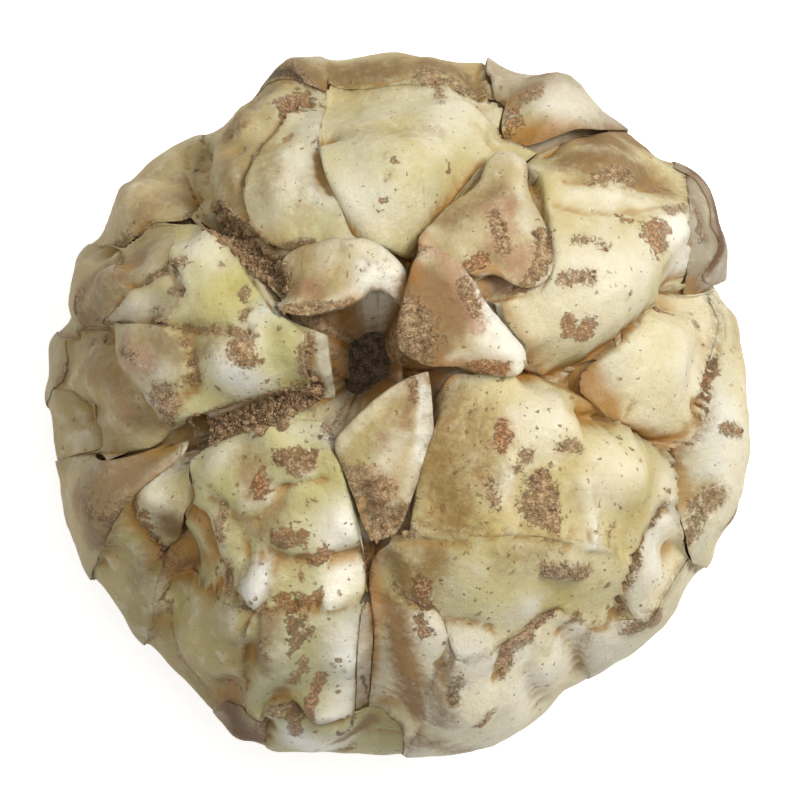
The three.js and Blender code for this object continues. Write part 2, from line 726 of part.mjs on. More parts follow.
// The rim's other scales, going round.
layScale("east_scale_2", {
  flank: [-28, 24],
  low: [[43, -22.5], [41, -18], [40.2, -13]],
  high: [[46, 18], [47, 12], [45.5, 5], [43, 1], [41.8, -4]],
  tip: [41, -8.5],
  grid: LARGE,
  taper: 6,
}, FLESH);
layScale("northeast_scale_2", {
  fall: 3,
  level: 1,
  tuck: 3,
  flank: [24, 38],
  low: [[46, 16.5], [44, 18], [42, 21], [40.2, 25]],
  high: [[38.8, 32.8], [39.5, 29]],
  tip: [39.8, 28],
  grid: NARROW,
}, FLESH);
layScale("northeast_scale_3", {
  fall: 2,
  level: -0.6,
  flank: [22, 42],
  low: [[46.3, 18], [45.7, 21.5], [44.3, 25]],
  high: [[38.5, 33.3]],
  tip: [42.4, 29.8],
  grid: NARROW,
  taper: 5,
}, BROWN_FLESH);
layScale("north_scale_5", {
  flank: [72, 107],
  low: [[16, 45.4], [13, 45.4]],
  high: [[-15, 46.5], [-11.5, 46.3]],
  tip: [1, 45.5],
  taper: 6,
}, SHADED_FLESH);
layScale("northeast_scale_4", {
  level: -0.3,
  flank: [50, 76],
  low: [[33, 38.8], [29, 38.4], [25, 38.6], [20, 39.6]],
  high: [[13, 47.5], [15.5, 45], [16, 42]],
  tip: [17.3, 41],
  taper: 6,
}, FLESH);
layScale("north_scale_6", {
  level: 0.3,
  flank: [103, 117],
  low: [[-10.5, 48], [-12, 46.5]],
  high: [[-21, 44.5], [-19, 44.8]],
  tip: [-16, 45.4],
  grid: NARROW,
  taper: 5,
}, BROWN_FLESH);
layScale("west_scale_6", {
  flank: [124, 157],
  low: [[-31.8, 37], [-31.6, 34], [-31.3, 31]],
  high: [[-43.5, 21.5], [-40, 22], [-37, 25], [-33.2, 27.2]],
  tip: [-31.8, 29],
  taper: 6,
}, FLESH);
layScale("west_scale_7", {
  level: 0.3,
  flank: [153, 171],
  low: [[-43.5, 22.5], [-41, 21.5]],
  high: [[-48, 10.5], [-43, 11.5], [-40.5, 14.5]],
  tip: [-40, 18],
  taper: 4.5,
}, BROWN_FLESH);
layScale("west_scale_8", {
  flank: [177, 193],
  low: [[-48.5, 1], [-46.5, -1]],
  high: [[-48, -10], [-45, -8]],
  tip: [-45, -5],
  grid: NARROW,
  taper: 4.5,
}, BROWN_FLESH);
layScale("west_scale_9", {
  flank: [190, 209],
  low: [[-48, -8.5], [-42, -9.5], [-37, -9]],
  high: [[-44, -23], [-42, -19.5], [-40, -15.5], [-36.5, -11]],
  tip: [-35.5, -9.5],
  taper: 7,
}, BROWN_FLESH);
layScale("west_scale_10", {
  fall: 0,
  level: -0.6,
  flank: [168, 181],
  low: [{ az: 172, rise: 1.1 }],
  high: [{ az: 178, rise: 1.1 }],
  tip: { az: 175, rise: 1.2 },
  grid: NARROW,
}, BROWN_FLESH);
layScale("southwest_scale_9", {
  flank: [239, 253],
  low: [[-25.5, -42.5], [-22, -42.5]],
  high: [[-14, -47], [-17, -43]],
  grid: NARROW,
  taper: 4.5,
}, BROWN_FLESH);
layScale("southwest_scale_10", {
  level: 0.4,
  flank: [249, 268],
  low: [[-18.5, -46.5], [-18, -42.6]],
  high: [[-1, -47.5], [-5, -45.5]],
  taper: 4.5,
}, FLESH);

// The scales round the pit, which point away from it.
layScale("north_scale_7", {
  low: [[-17, 14], [-15, 12.3], [-10, 13], [-6, 14], [-4, 16], [-2.5, 16.2], [-0.5, 14.5], [0.8, 13]],
  high: [[-19.3, 18], [-18, 20.3], [-13, 21.8], [-8, 22], [-3, 21.4], [0, 20.2], [1.6, 18.3], [1.8, 15]],
}, FLESH);
layScale("northeast_scale_5", {
  low: [[4, 9], [9, 14], [14, 16.5], [19.5, 15.2], [21, 18], [20.5, 24], [19.8, 29], [18.5, 32.5]],
  high: [[2, 12], [1.8, 17], [3, 22.5], [7.5, 28.5], [11.5, 33]],
  tip: [15.2, 35.6],
  grid: LARGE,
}, FLESH);
layScale("northeast_scale_6", {
  low: [[0.6, 7], [4, 5.2], [8, 5.2], [11.5, 5], [14.5, 4.8]],
  high: [[3.5, 22.5], [8, 19.6], [10.5, 16], [13.3, 12], [16.3, 7.8]],
  tip: [17.6, 5.3],
  heel: [-0.3, 12],
}, FLESH);
layScale("southeast_scale_7", {
  low: [[-9, -5], [-6.5, -10], [-5, -14.5], [-4.4, -18]],
  high: [[4, 4.5], [4.3, 1.5], [2.8, -5], [1, -12], [-0.5, -18]],
  tip: [-2.8, -21],
  heel: [-2.5, 1.5],
}, FLESH);
// The soil caught in the crevices beside the west nose, and a clod at the pit's mouth.
layScale("crevice_soil_1", {
  level: 3,
  low: [[-31.5, -7.2], [-27, -5.6], [-21, -3.3], [-13, -0.8]],
  high: [[-32, -4.6], [-27, -2.2], [-20, 0.3], [-12, 2.6]],
  span: 4,
  taper: 2.5,
}, SOIL);
layScale("crevice_soil_2", {
  level: 4,
  low: [[-29.5, 28], [-25.5, 24.2], [-21.5, 20.2], [-18, 16.8]],
  high: [[-26.5, 29], [-22.3, 25], [-18.6, 21.2], [-15.8, 18.6]],
  span: 4,
  taper: 2.5,
}, SOIL);


// The origin is the middle of the bulb's footprint, on the ground.
const extent = new THREE.Box3().setFromObject(bulb);
const middle = extent.getCenter(new THREE.Vector3());
bulb.position.set(-middle.x, -middle.y, -extent.min.z);

export default bulb;
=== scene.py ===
"""A fresh lily bulb: fleshy scales in six noses round the earth-filled pit of its old stem."""

import bmesh
import bpy
import numpy as np
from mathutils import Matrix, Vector


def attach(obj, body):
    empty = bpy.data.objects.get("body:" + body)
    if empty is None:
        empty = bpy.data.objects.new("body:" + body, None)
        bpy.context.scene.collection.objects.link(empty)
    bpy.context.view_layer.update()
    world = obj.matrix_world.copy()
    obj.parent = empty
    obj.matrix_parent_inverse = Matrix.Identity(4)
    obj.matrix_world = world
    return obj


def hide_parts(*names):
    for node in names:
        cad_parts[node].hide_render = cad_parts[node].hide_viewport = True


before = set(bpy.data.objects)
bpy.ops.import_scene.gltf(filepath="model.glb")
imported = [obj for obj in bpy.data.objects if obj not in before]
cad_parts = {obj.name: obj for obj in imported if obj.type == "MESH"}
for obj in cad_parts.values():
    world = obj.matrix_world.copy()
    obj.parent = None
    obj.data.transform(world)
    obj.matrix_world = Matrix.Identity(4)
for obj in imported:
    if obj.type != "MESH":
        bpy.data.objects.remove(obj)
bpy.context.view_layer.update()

# ------------------------------------------------------------ how the scales lie together
# Every scale grows from the stem's foot, deep in the bulb, so the way from there to a spot settles
# which scale covers which. A round chart of those ways, the bulb's axis in its middle, holds how
# far out the bulb reaches and where, in plan, that is. Lengths here are in millimetres, and plan
# places are given from PLAN_ZERO, to the right and to the back.
MM = 0.001
PLAN_ZERO = np.array([1.277, 0.168])
STEM_FOOT = np.array([-2.723, 5.168, 29.143])
CHART_CELLS = 1081
CHART_MIDDLE = (CHART_CELLS - 1) / 2
CELLS_PER_DEGREE = 3


def chart_cell(tilt, turn):
    """The cell of a way that many degrees off the axis, turned round it by so much."""
    return [CHART_MIDDLE + CELLS_PER_DEGREE * tilt * side(turn) for side in (np.cos, np.sin)]


def chart_place(points):
    """Where each point falls on the chart, in cells, and how far it lies from the stem's foot."""
    way = points - STEM_FOOT
    reach = np.linalg.norm(way, axis=1)
    tilt = np.degrees(np.arccos(np.clip(way[:, 2] / reach, -1, 1)))
    across, along = chart_cell(tilt, np.arctan2(way[:, 1], way[:, 0]))
    return across, along, reach


def way_out(tilt, turn):
    """The way that leans off the axis and is turned round it by those angles."""
    level = np.sin(tilt)
    return np.stack([level * np.cos(turn), level * np.sin(turn), np.cos(tilt)], axis=-1)


def chart_spot(across, along, reach):
    """The point at that place of the chart and that far out."""
    right, back = across - CHART_MIDDLE, along - CHART_MIDDLE
    tilt = np.radians(np.hypot(right, back) / CELLS_PER_DEGREE)
    return STEM_FOOT + way_out(tilt, np.arctan2(back, right)) * reach[..., None]


def softened(field, cells):
    """A field of the chart blurred by a bell curve that many cells wide."""
    waves = np.fft.fftfreq(CHART_CELLS)
    bell = np.exp(-2 * (np.pi * cells * waves) ** 2)
    spectrum = np.fft.rfft2(field)
    return np.fft.irfft2(spectrum * bell[:, None] * bell[: spectrum.shape[1]], field.shape)


def read_chart(field, across, along):
    """The field's value at places between the cells."""
    low_x = np.clip(across.astype(int), 0, CHART_CELLS - 2)
    low_y = np.clip(along.astype(int), 0, CHART_CELLS - 2)
    part_x, part_y = across - low_x, along - low_y
    near = field[low_x, low_y] * (1 - part_x) + field[low_x + 1, low_y] * part_x
    far = field[low_x, low_y + 1] * (1 - part_x) + field[low_x + 1, low_y + 1] * part_x
    return near * (1 - part_y) + far * part_y


def spots_on(mesh, spacing):
    """Points spread over a mesh's faces."""
    mesh.calc_loop_triangles()
    corners = np.array([v.co for v in mesh.vertices]) / MM
    faces = np.array([t.vertices for t in mesh.loop_triangles])
    a, b, c = (corners[faces[:, k]] for k in range(3))
    longest = np.maximum(np.linalg.norm(b - a, axis=1), np.linalg.norm(c - a, axis=1))
    parts = np.ceil(longest / spacing).astype(int)
    found = []
    for count in np.unique(parts):
        pick = parts == count
        u, v = np.meshgrid(np.arange(count + 1) / count, np.arange(count + 1) / count)
        inside = u + v <= 1 + 1e-9
        u, v = u[inside][None, :, None], v[inside][None, :, None]
        side, other = (b - a)[pick, None], (c - a)[pick, None]
        found.append((a[pick, None] + side * u + other * v).reshape(-1, 3))
    return np.concatenate(found)


# The outermost solid along each way, and the pinholes between its points filled from beside them.
POINT_SPACING, PINHOLE_CELLS = 0.2, 5
FOUR_WAYS = ((0, 1), (0, -1), (1, 0), (-1, 0))
node_names = sorted(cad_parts)
top_reach = np.zeros((CHART_CELLS, CHART_CELLS))
top_owner = np.full((CHART_CELLS, CHART_CELLS), -1)
for number, name in enumerate(node_names):
    across, along, reach = chart_place(spots_on(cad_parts[name].data, POINT_SPACING))
    own = np.zeros_like(top_reach)
    np.maximum.at(own, (np.rint(across).astype(int), np.rint(along).astype(int)), reach)
    wins = own > top_reach
    top_reach[wins] = own[wins]
    top_owner[wins] = number
for _ in range(PINHOLE_CELLS):
    empty = top_reach == 0
    filled, fill_owner = np.zeros_like(top_reach), top_owner.copy()
    for shift in FOUR_WAYS:
        moved, owner = np.roll(top_reach, shift, (0, 1)), np.roll(top_owner, shift, (0, 1))
        better = empty & (moved > filled)
        filled[better] = moved[better]
        fill_owner[better] = owner[better]
    top_reach = np.where(empty, filled, top_reach)
    top_owner = fill_owner
cells = (np.arange(CHART_CELLS) - CHART_MIDDLE) / CELLS_PER_DEGREE
cell_tilt = np.radians(np.hypot(cells[:, None], cells[None, :]))
cell_way = way_out(cell_tilt, np.arctan2(cells[None, :], cells[:, None]))
cell_top = STEM_FOOT + cell_way * top_reach[..., None]
cell_height = cell_top[..., 2]

# The same tops looked up by plan place: the highest spot over each quarter millimetre.
PLAN_HALF, PLAN_STEP, PLAN_PINHOLES = 56.0, 0.25, 8
UPPER_SIDE = 14
plan_cells = int(2 * PLAN_HALF / PLAN_STEP) + 1
highest = np.full((plan_cells, plan_cells), -1)
seen = np.flatnonzero((top_reach > 0) & (cell_height > UPPER_SIDE))
seen = seen[np.argsort(cell_height.ravel()[seen], kind="stable")]
plan_spots = (cell_top.reshape(-1, 3)[seen, :2] - PLAN_ZERO + PLAN_HALF) / PLAN_STEP
plan_spots = np.rint(plan_spots).astype(int)
highest[plan_spots[:, 0], plan_spots[:, 1]] = seen
for _ in range(PLAN_PINHOLES):
    for shift in FOUR_WAYS:
        moved = np.roll(highest, shift, (0, 1))
        highest = np.where(highest < 0, moved, highest)


FINEST_STEP, STEP_PER_WIDTH, BRUSH_WIDTHS, LEAST_REACH = 0.35, 0.4, 2.3, 12


def along_line(points, step):
    """Plan points closely spaced along a line through the given ones."""
    if len(points) == 1:
        return np.array(points, float)
    points = np.array(points, float)
    lengths = np.linalg.norm(np.diff(points, axis=0), axis=1)
    places = np.concatenate([[0], np.cumsum(lengths)])
    at = np.linspace(0, places[-1], int(places[-1] / step) + 2)
    return np.stack([np.interp(at, places, points[:, k]) for k in range(2)], axis=1)


def brushed(points, width):
    """A field of the chart, 1 on the surface along a plan line and falling away over the width."""
    field = np.zeros_like(top_reach)
    for spot in along_line(points, max(FINEST_STEP, width * STEP_PER_WIDTH)):
        i, j = np.clip(np.rint((spot + PLAN_HALF) / PLAN_STEP).astype(int), 0, plan_cells - 1)
        cell = highest[i, j]
        if cell < 0:
            continue
        i, j = divmod(cell, CHART_CELLS)
        half = np.degrees(BRUSH_WIDTHS * width / max(top_reach[i, j], LEAST_REACH))
        half = int(CELLS_PER_DEGREE * half) + 2
        window = (slice(max(i - half, 0), i + half + 1), slice(max(j - half, 0), j + half + 1))
        apart = np.linalg.norm(cell_top[window] - cell_top[i, j], axis=-1)
        field[window] = np.maximum(field[window], np.exp(-((apart / width) ** 2)))
    return field


RELIEF = 1.8
lift = np.zeros_like(top_reach)
# Marks of colour on the chart. The shade marks are painted shade, the pale ones painted highlights
# with some whiter flesh, and the dark ones dirt with painted shade in cracks and slits.
marks = {
    kind: np.zeros_like(top_reach)
    for kind in ("shade", "tan", "green", "pale", "pink", "rust", "soil", "dark")
}


def swell(*swells):
    """Rounded swellings, each a place, a width and a height; a negative height is a dip."""
    global lift
    for x, y, width, height in swells:
        lift += RELIEF * height * brushed([(x, y)], width)


def furrow(*furrows):
    """Furrows, each a width, a depth and the points of its line; a negative depth is a ridge."""
    global lift
    for width, depth, *points in furrows:
        lift -= RELIEF * depth * brushed(points, width)


def mark(kind, *strokes):
    """Marks of one kind, each a width, a strength and one point, or several for a streak."""
    for width, strength, *points in strokes:
        marks[kind] = np.maximum(marks[kind], strength * brushed(points, width))


def spots(kind, width, strength, *places):
    """Like spots of one kind at several places."""
    for place in places:
        mark(kind, (width, strength, place))


# ------------------------------------------------------------ basal plate
# The corky disc of old stem that carries every scale, cut flat below, with the scars and
# stubs of the trimmed roots.
CREASE_ANGLE = 0.9
laid = []


def placed(name, data):
    """A new object in the scene."""
    made = bpy.data.objects.new(name, data)
    bpy.context.scene.collection.objects.link(made)
    return made


def lay(node, levels, material, sharpness=0.75):
    """A copy of a solid of the frame, divided and rounded, to be pressed in place later."""
    mesh = bmesh.new()
    mesh.from_mesh(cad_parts[node].data)
    bmesh.ops.remove_doubles(mesh, verts=mesh.verts, dist=2e-5)
    bmesh.ops.join_triangles(
        mesh, faces=mesh.faces, angle_face_threshold=1.0, angle_shape_threshold=1.2
    )
    crease = mesh.edges.layers.float.new("crease_edge")
    for edge in mesh.edges:
        if edge.calc_face_angle(0) > CREASE_ANGLE:
            edge[crease] = sharpness
    cage = bpy.data.meshes.new(node)
    mesh.to_mesh(cage)
    mesh.free()
    piece = placed("whole_" + node, cage)
    divide = piece.modifiers.new("divide", "SUBSURF")
    divide.levels = divide.render_levels = levels
    divided = bpy.data.meshes.new_from_object(
        piece.evaluated_get(bpy.context.evaluated_depsgraph_get())
    )
    piece.modifiers.clear()
    piece.data = divided
    divided.polygons.foreach_set("use_smooth", [True] * len(divided.polygons))
    divided.materials.clear()
    divided.materials.append(material)
    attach(piece, "root")
    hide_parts(node)
    laid.append(piece)


def paint(red, green, blue):
    """A colour given in 8-bit sRGB, as the shader's linear colour."""
    part = np.array([red, green, blue]) / 255
    linear = np.where(part <= 0.04045, part / 12.92, ((part + 0.055) / 1.055) ** 2.4)
    return (*linear, 1.0)


class Nodes:
    """A short way to place and join shader nodes in one tree."""

    def __init__(self, tree):
        self.tree = tree

    def join(self, source, target):
        self.tree.links.new(source, target)

    def add(self, kind, inputs=(), **settings):
        node = self.tree.nodes.new(kind)
        for key, value in settings.items():
            setattr(node, key, value)
        for key, value in dict(inputs).items():
            if isinstance(value, bpy.types.NodeSocket):
                self.join(value, node.inputs[key])
            else:
                node.inputs[key].default_value = value
        return node

    def math(self, operation, a, b=0.0, clamp=False):
        node = self.add("ShaderNodeMath", {0: a, 1: b}, operation=operation, use_clamp=clamp)
        return node.outputs[0]

    def plus(self, a, b):
        return self.math("ADD", a, b)

    def minus(self, a, b):
        return self.math("SUBTRACT", a, b)

    def times(self, a, b, clamp=False):
        return self.math("MULTIPLY", a, b, clamp)

    def swayed(self, value, noise, amount):
        """The value moved up and down by a noise about the noise's middle."""
        return self.plus(value, self.times(self.minus(noise, 0.5), amount))

    def mix(self, share, first, second):
        mixed = self.add("ShaderNodeMix", {0: share, 6: first, 7: second}, data_type="RGBA")
        return mixed.outputs[2]

    def stained(self, color, mask, strength, tone):
        """The colour with another over it where the mask is, at that strength."""
        return self.mix(self.times(mask, strength), color, tone)

    def ramp(self, value, low, high):
        """0 below low, 1 above high, smooth between."""
        return self.add(
            "ShaderNodeMapRange",
            {"Value": value, "From Min": low, "From Max": high},
            interpolation_type="SMOOTHSTEP",
        ).outputs[0]

    def noise(self, place, scale, detail=4.0, roughness=0.6, stretch=0.0):
        values = {"Scale": scale, "Detail": detail, "Roughness": roughness, "Distortion": stretch}
        return self.add("ShaderNodeTexNoise", {"Vector": place, **values}).outputs["Fac"]

    def attribute(self, name):
        return self.add("ShaderNodeAttribute", attribute_name=name).outputs["Fac"]

    def place(self):
        """The spot on the piece in millimetres."""
        where = {0: self.add("ShaderNodeTexCoord").outputs["Object"], "Scale": 1 / MM}
        return self.add("ShaderNodeVectorMath", where, operation="SCALE").outputs[0]


def new_group(name, inputs, outputs):
    """An empty node group with named sockets, its Nodes, its input node and its output node."""
    group = bpy.data.node_groups.new(name, "ShaderNodeTree")
    for socket, kind, value in inputs:
        made = group.interface.new_socket(socket, in_out="INPUT", socket_type=kind)
        made.default_value = value
    for socket, kind in outputs:
        group.interface.new_socket(socket, in_out="OUTPUT", socket_type=kind)
    nodes = Nodes(group)
    return group, nodes, nodes.add("NodeGroupInput"), nodes.add("NodeGroupOutput")


# Loose soil is one effect on the plate, the scales and the crumbs: dry, granular and matte.
earth, n, given, out = new_group(
    "earth",
    [
        ("Light Grain", "NodeSocketColor", paint(234, 202, 160)),
        ("Dark Grain", "NodeSocketColor", paint(172, 132, 92)),
    ],
    [("Color", "NodeSocketColor"), ("Height", "NodeSocketFloat")],
)
place = n.place()
grains = n.add("ShaderNodeTexVoronoi", {"Vector": place, "Scale": 4.2, "Randomness": 1.0})
off_grain = grains.outputs["Distance"]
lumps = n.noise(place, 0.9, 5, 0.7)
tone = n.ramp(n.plus(n.times(off_grain, 0.45), n.ramp(lumps, 0.35, 0.7)), 0.1, 1.2)
color = n.mix(tone, given.outputs["Light Grain"], given.outputs["Dark Grain"])
n.join(color, out.inputs["Color"])
n.join(n.minus(lumps, n.times(off_grain, 0.8)), out.inputs["Height"])


def plain_material(name, **values):
    """A material, its Nodes and its shader, with those constant numbers on the shader."""
    material = bpy.data.materials.new(name)
    material.use_nodes = True
    shader = material.node_tree.nodes["Principled BSDF"]
    for socket, value in values.items():
        shader.inputs[socket.replace("_", " ")].default_value = value
    return material, Nodes(material.node_tree), shader


def dress(n, shader, color, height, relief):
    """Gives a shader its colour and, through a bump that deep in metres, its height."""
    n.join(color, shader.inputs["Base Color"])
    bump = n.add("ShaderNodeBump", {"Height": height, "Distance": relief})
    n.join(bump.outputs[0], shader.inputs["Normal"])


cork, n, shader = plain_material("cork", Roughness=0.85)
place = n.place()
soil = n.add("ShaderNodeGroup", node_tree=earth)
fibre = n.noise(place, 0.8, 6, 0.7)
bark = n.mix(n.ramp(fibre, 0.35, 0.65), paint(150, 118, 80), paint(196, 170, 125))
color = n.mix(n.ramp(n.noise(place, 0.3, 4), 0.45, 0.62), bark, soil.outputs["Color"])
dress(n, shader, color, n.plus(fibre, soil.outputs["Height"]), 0.0006)
lay("basal_plate", 2, cork)

# ------------------------------------------------------------ pit
# Dark damp earth in the bottom of the hole that last year's stem left, crumbly and loose, heaped
# a little in the middle.


def soil_material(name, light, dark, relief):
    """Matte loose soil with those two tones of grain."""
    material, n, shader = plain_material(name, Roughness=0.95)
    grains = {"Light Grain": paint(*light), "Dark Grain": paint(*dark)}
    soil = n.add("ShaderNodeGroup", grains, node_tree=earth)
    dress(n, shader, soil.outputs["Color"], soil.outputs["Height"], relief)
    return material


damp = soil_material("damp_earth", (158, 136, 112), (86, 70, 54), 0.0012)
lay("pit_soil", 4, damp)

# ------------------------------------------------------------ flesh of the scales
# Waxy, faintly see-through cream flesh: painted shade makes it yellower in the furrows and painted
# highlights make it whiter on the swellings, with dry tan skin, bruises, rusty spots, specks and
# caught soil. The marks come from the laying of each nose.
skin, n, given, out = new_group(
    "skin",
    [
        ("Flesh", "NodeSocketColor", paint(226, 215, 176)),
        ("Ripe Flesh", "NodeSocketColor", paint(206, 193, 140)),
        ("Dry Skin", "NodeSocketColor", paint(172, 150, 116)),
        ("Specks", "NodeSocketFloat", 1.0),
    ],
    [("Color", "NodeSocketColor"), ("Roughness", "NodeSocketFloat"), ("Height", "NodeSocketFloat")],
)
place = n.place()
broad = n.noise(place, 0.085, 3, 0.5)
middling = n.noise(place, 0.33, 5, 0.62)
ragged = n.noise(place, 0.75, 6, 0.68, 0.4)
fine = n.noise(place, 2.3, 5, 0.7)


def edged(kind, coarse, rough, low, high):
    """A mark's mask with the ragged edge that a stain has."""
    return n.ramp(n.swayed(n.attribute(kind), coarse, rough), low, high)


# The flesh itself: ripe patches, a milky cloud, fine veins, and white where it swells, which is
# painted highlight with some whiter flesh.
color = n.mix(n.ramp(broad, 0.38, 0.66), given.outputs["Flesh"], given.outputs["Ripe Flesh"])
color = n.stained(color, n.ramp(middling, 0.5, 0.75), 0.35, paint(236, 232, 214))
veins = n.ramp(n.math("ABSOLUTE", n.minus(ragged, 0.5)), 0.05, 0.0)
color = n.stained(color, veins, 0.3, paint(184, 172, 112))
# Painted highlight: whiter where the pale marks are, with some flesh that is whiter itself.
painted_highlight = n.swayed(n.attribute("pale"), middling, 0.8)
color = n.mix(n.times(painted_highlight, 0.72, True), color, paint(246, 242, 226))

# Yellow-green flesh and dry skin, then painted shade, brown in the hollows and the shaded valleys,
# then the stains: bruises and rusty sores.
color = n.stained(color, edged("green", middling, 0.7, -0.1, 1.2), 0.75, paint(192, 182, 104))
color = n.mix(edged("tan", ragged, 0.75, 0.15, 0.85), color, given.outputs["Dry Skin"])
# Painted shade: brown in the hollows of the surface and along the shade marks.
color = n.stained(color, n.ramp(n.attribute("hollow_shade"), 0.08, 0.95), 0.85, paint(176, 134, 66))
color = n.stained(color, edged("shade", middling, 0.35, 0.1, 1.0), 0.85, paint(176, 124, 56))
bruise = n.times(edged("pink", ragged, 1.6, 0.3, 0.8), n.ramp(fine, 0.25, 0.6))
color = n.stained(color, bruise, 0.8, paint(182, 138, 108))
rust = n.times(edged("rust", ragged, 2.2, 0.42, 0.6), n.ramp(fine, 0.32, 0.5))
rust_tone = n.mix(n.ramp(fine, 0.45, 0.62), paint(178, 112, 62), paint(232, 190, 142))
color = n.stained(color, rust, 0.85, rust_tone)

# Small dark specks of two sizes, strewn unevenly.
jitter = n.add("ShaderNodeTexNoise", {"Vector": place, "Scale": 1.6, "Detail": 3.0})
strewn = n.add(
    "ShaderNodeVectorMath",
    {0: jitter.outputs["Color"], 1: (1.3, 1.3, 1.3), 2: place},
    operation="MULTIPLY_ADD",
).outputs[0]
dots = 0.0
for scale, rarity, radius in ((0.6, 5.0, 0.24), (1.25, 3.6, 0.27)):
    cell = n.add("ShaderNodeTexVoronoi", {"Vector": strewn, "Scale": scale, "Randomness": 1.0})
    chance = n.add("ShaderNodeSeparateColor", {"Color": cell.outputs["Color"]}).outputs[0]
    size = n.times(n.math("POWER", chance, rarity), n.times(given.outputs["Specks"], radius))
    away = n.swayed(cell.outputs["Distance"], fine, 0.3)
    dots = n.math("MAXIMUM", dots, n.ramp(n.minus(size, away), -0.03, 0.04))
dots = n.times(dots, n.ramp(middling, 0.3, 0.55))
dot_tone = n.mix(n.ramp(broad, 0.45, 0.55), paint(120, 104, 62), paint(140, 100, 66))
color = n.stained(color, dots, 0.85, dot_tone)

# Painted shade along the line where one scale meets the next, then dust, caught soil and the dark
# marks over all, which are dirt and painted shade in cracks.
seam_shade = n.times(n.attribute("seam_shade"), n.ramp(ragged, 0.3, 0.6))
color = n.stained(color, seam_shade, 0.55, paint(128, 92, 54))
soil = n.add("ShaderNodeGroup", node_tree=earth)
soiled = n.attribute("soil")
dust = n.swayed(soiled, ragged, 1.6)
color = n.stained(color, n.ramp(dust, 0.05, 0.9), 0.7, paint(186, 152, 108))
dirt = n.ramp(n.swayed(dust, fine, 2.6), 0.46, 0.84)
dirt = n.times(dirt, n.ramp(soiled, 0.05, 0.5))
color = n.stained(color, dirt, 0.92, soil.outputs["Color"])
# Dark marks: dirt and painted shade in cracks and slits.
color = n.stained(color, edged("dark", ragged, 1.3, 0.4, 0.8), 0.8, paint(84, 60, 40))
n.join(color, out.inputs["Color"])

# Flesh under the painted highlight is the smoothest, dry skin duller, soil quite matte and the
# roughest to the touch.
rough = n.minus(0.35, n.times(painted_highlight, 0.09, True))
rough = n.plus(rough, n.times(middling, 0.16))
rough = n.plus(rough, n.times(n.attribute("tan"), 0.18))
n.join(n.math("MAXIMUM", rough, n.times(dirt, 0.95)), out.inputs["Roughness"])
height = n.plus(n.times(middling, 0.45), n.times(fine, 0.05))
height = n.plus(height, n.times(ragged, 0.16))
height = n.plus(height, n.times(n.times(ragged, n.attribute("tan")), 0.12))
height = n.plus(height, n.times(dirt, n.plus(0.25, n.times(soil.outputs["Height"], 0.35))))
height = n.plus(height, n.times(n.times(rust, fine), 0.5))
n.join(height, out.inputs["Height"])


def flesh(name, body, ripe, dry, specks=1.0):
    """A scale's material: its own tones of flesh, and how speckled it is."""
    material, n, shader = plain_material(
        name,
        Subsurface_Weight=0.2,
        Subsurface_Radius=(1.0, 0.7, 0.35),
        Subsurface_Scale=0.003,
        Specular_IOR_Level=0.42,
    )
    tones = {"Flesh": paint(*body), "Ripe Flesh": paint(*ripe), "Dry Skin": paint(*dry)}
    finish = n.add("ShaderNodeGroup", {**tones, "Specks": specks}, node_tree=skin)
    n.join(finish.outputs["Roughness"], shader.inputs["Roughness"])
    dress(n, shader, finish.outputs["Color"], finish.outputs["Height"], 0.001)
    return material


# ------------------------------------------------------------ hearts of the noses
# Each nose's tight inner scales, soft, their flesh painted dark brown as shade. They are drawn as
# one packed mass just under the outer scales, which fills the gaps between them, as that is all
# that shows.
shaded_inner_flesh = flesh("shaded_inner_flesh", (156, 124, 74), (132, 100, 56), (110, 82, 50))
NOSES = ("west", "north", "northeast", "east", "southeast", "southwest")
HEARTS = [nose + "_heart" for nose in NOSES]
HEART_TURNS, HEART_RINGS = 240, 130
heart_tilt = np.linspace(0, 180, HEART_RINGS + 2)[1:-1, None]
heart_turn = np.radians(np.arange(HEART_TURNS) * 360 / HEART_TURNS)[None, :]
heart_across, heart_along = (side.ravel() for side in chart_cell(heart_tilt, heart_turn))
heart_crown, heart_foot = HEART_TURNS * HEART_RINGS, HEART_TURNS * HEART_RINGS + 1
last = HEART_TURNS * (HEART_RINGS - 1)
round_pairs = [(i, (i + 1) % HEART_TURNS) for i in range(HEART_TURNS)]
heart_faces = [[heart_crown, i, j] for i, j in round_pairs]
for low in range(0, last, HEART_TURNS):
    high = low + HEART_TURNS
    heart_faces += [[low + i, high + i, high + j, low + j] for i, j in round_pairs]
heart_faces += [[heart_foot, last + j, last + i] for i, j in round_pairs]
heart_mesh = bpy.data.meshes.new("inner_scales")
hearts = placed("inner_scales", heart_mesh)
heart_mesh.materials.append(shaded_inner_flesh)
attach(hearts, "root")
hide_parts(*HEARTS)

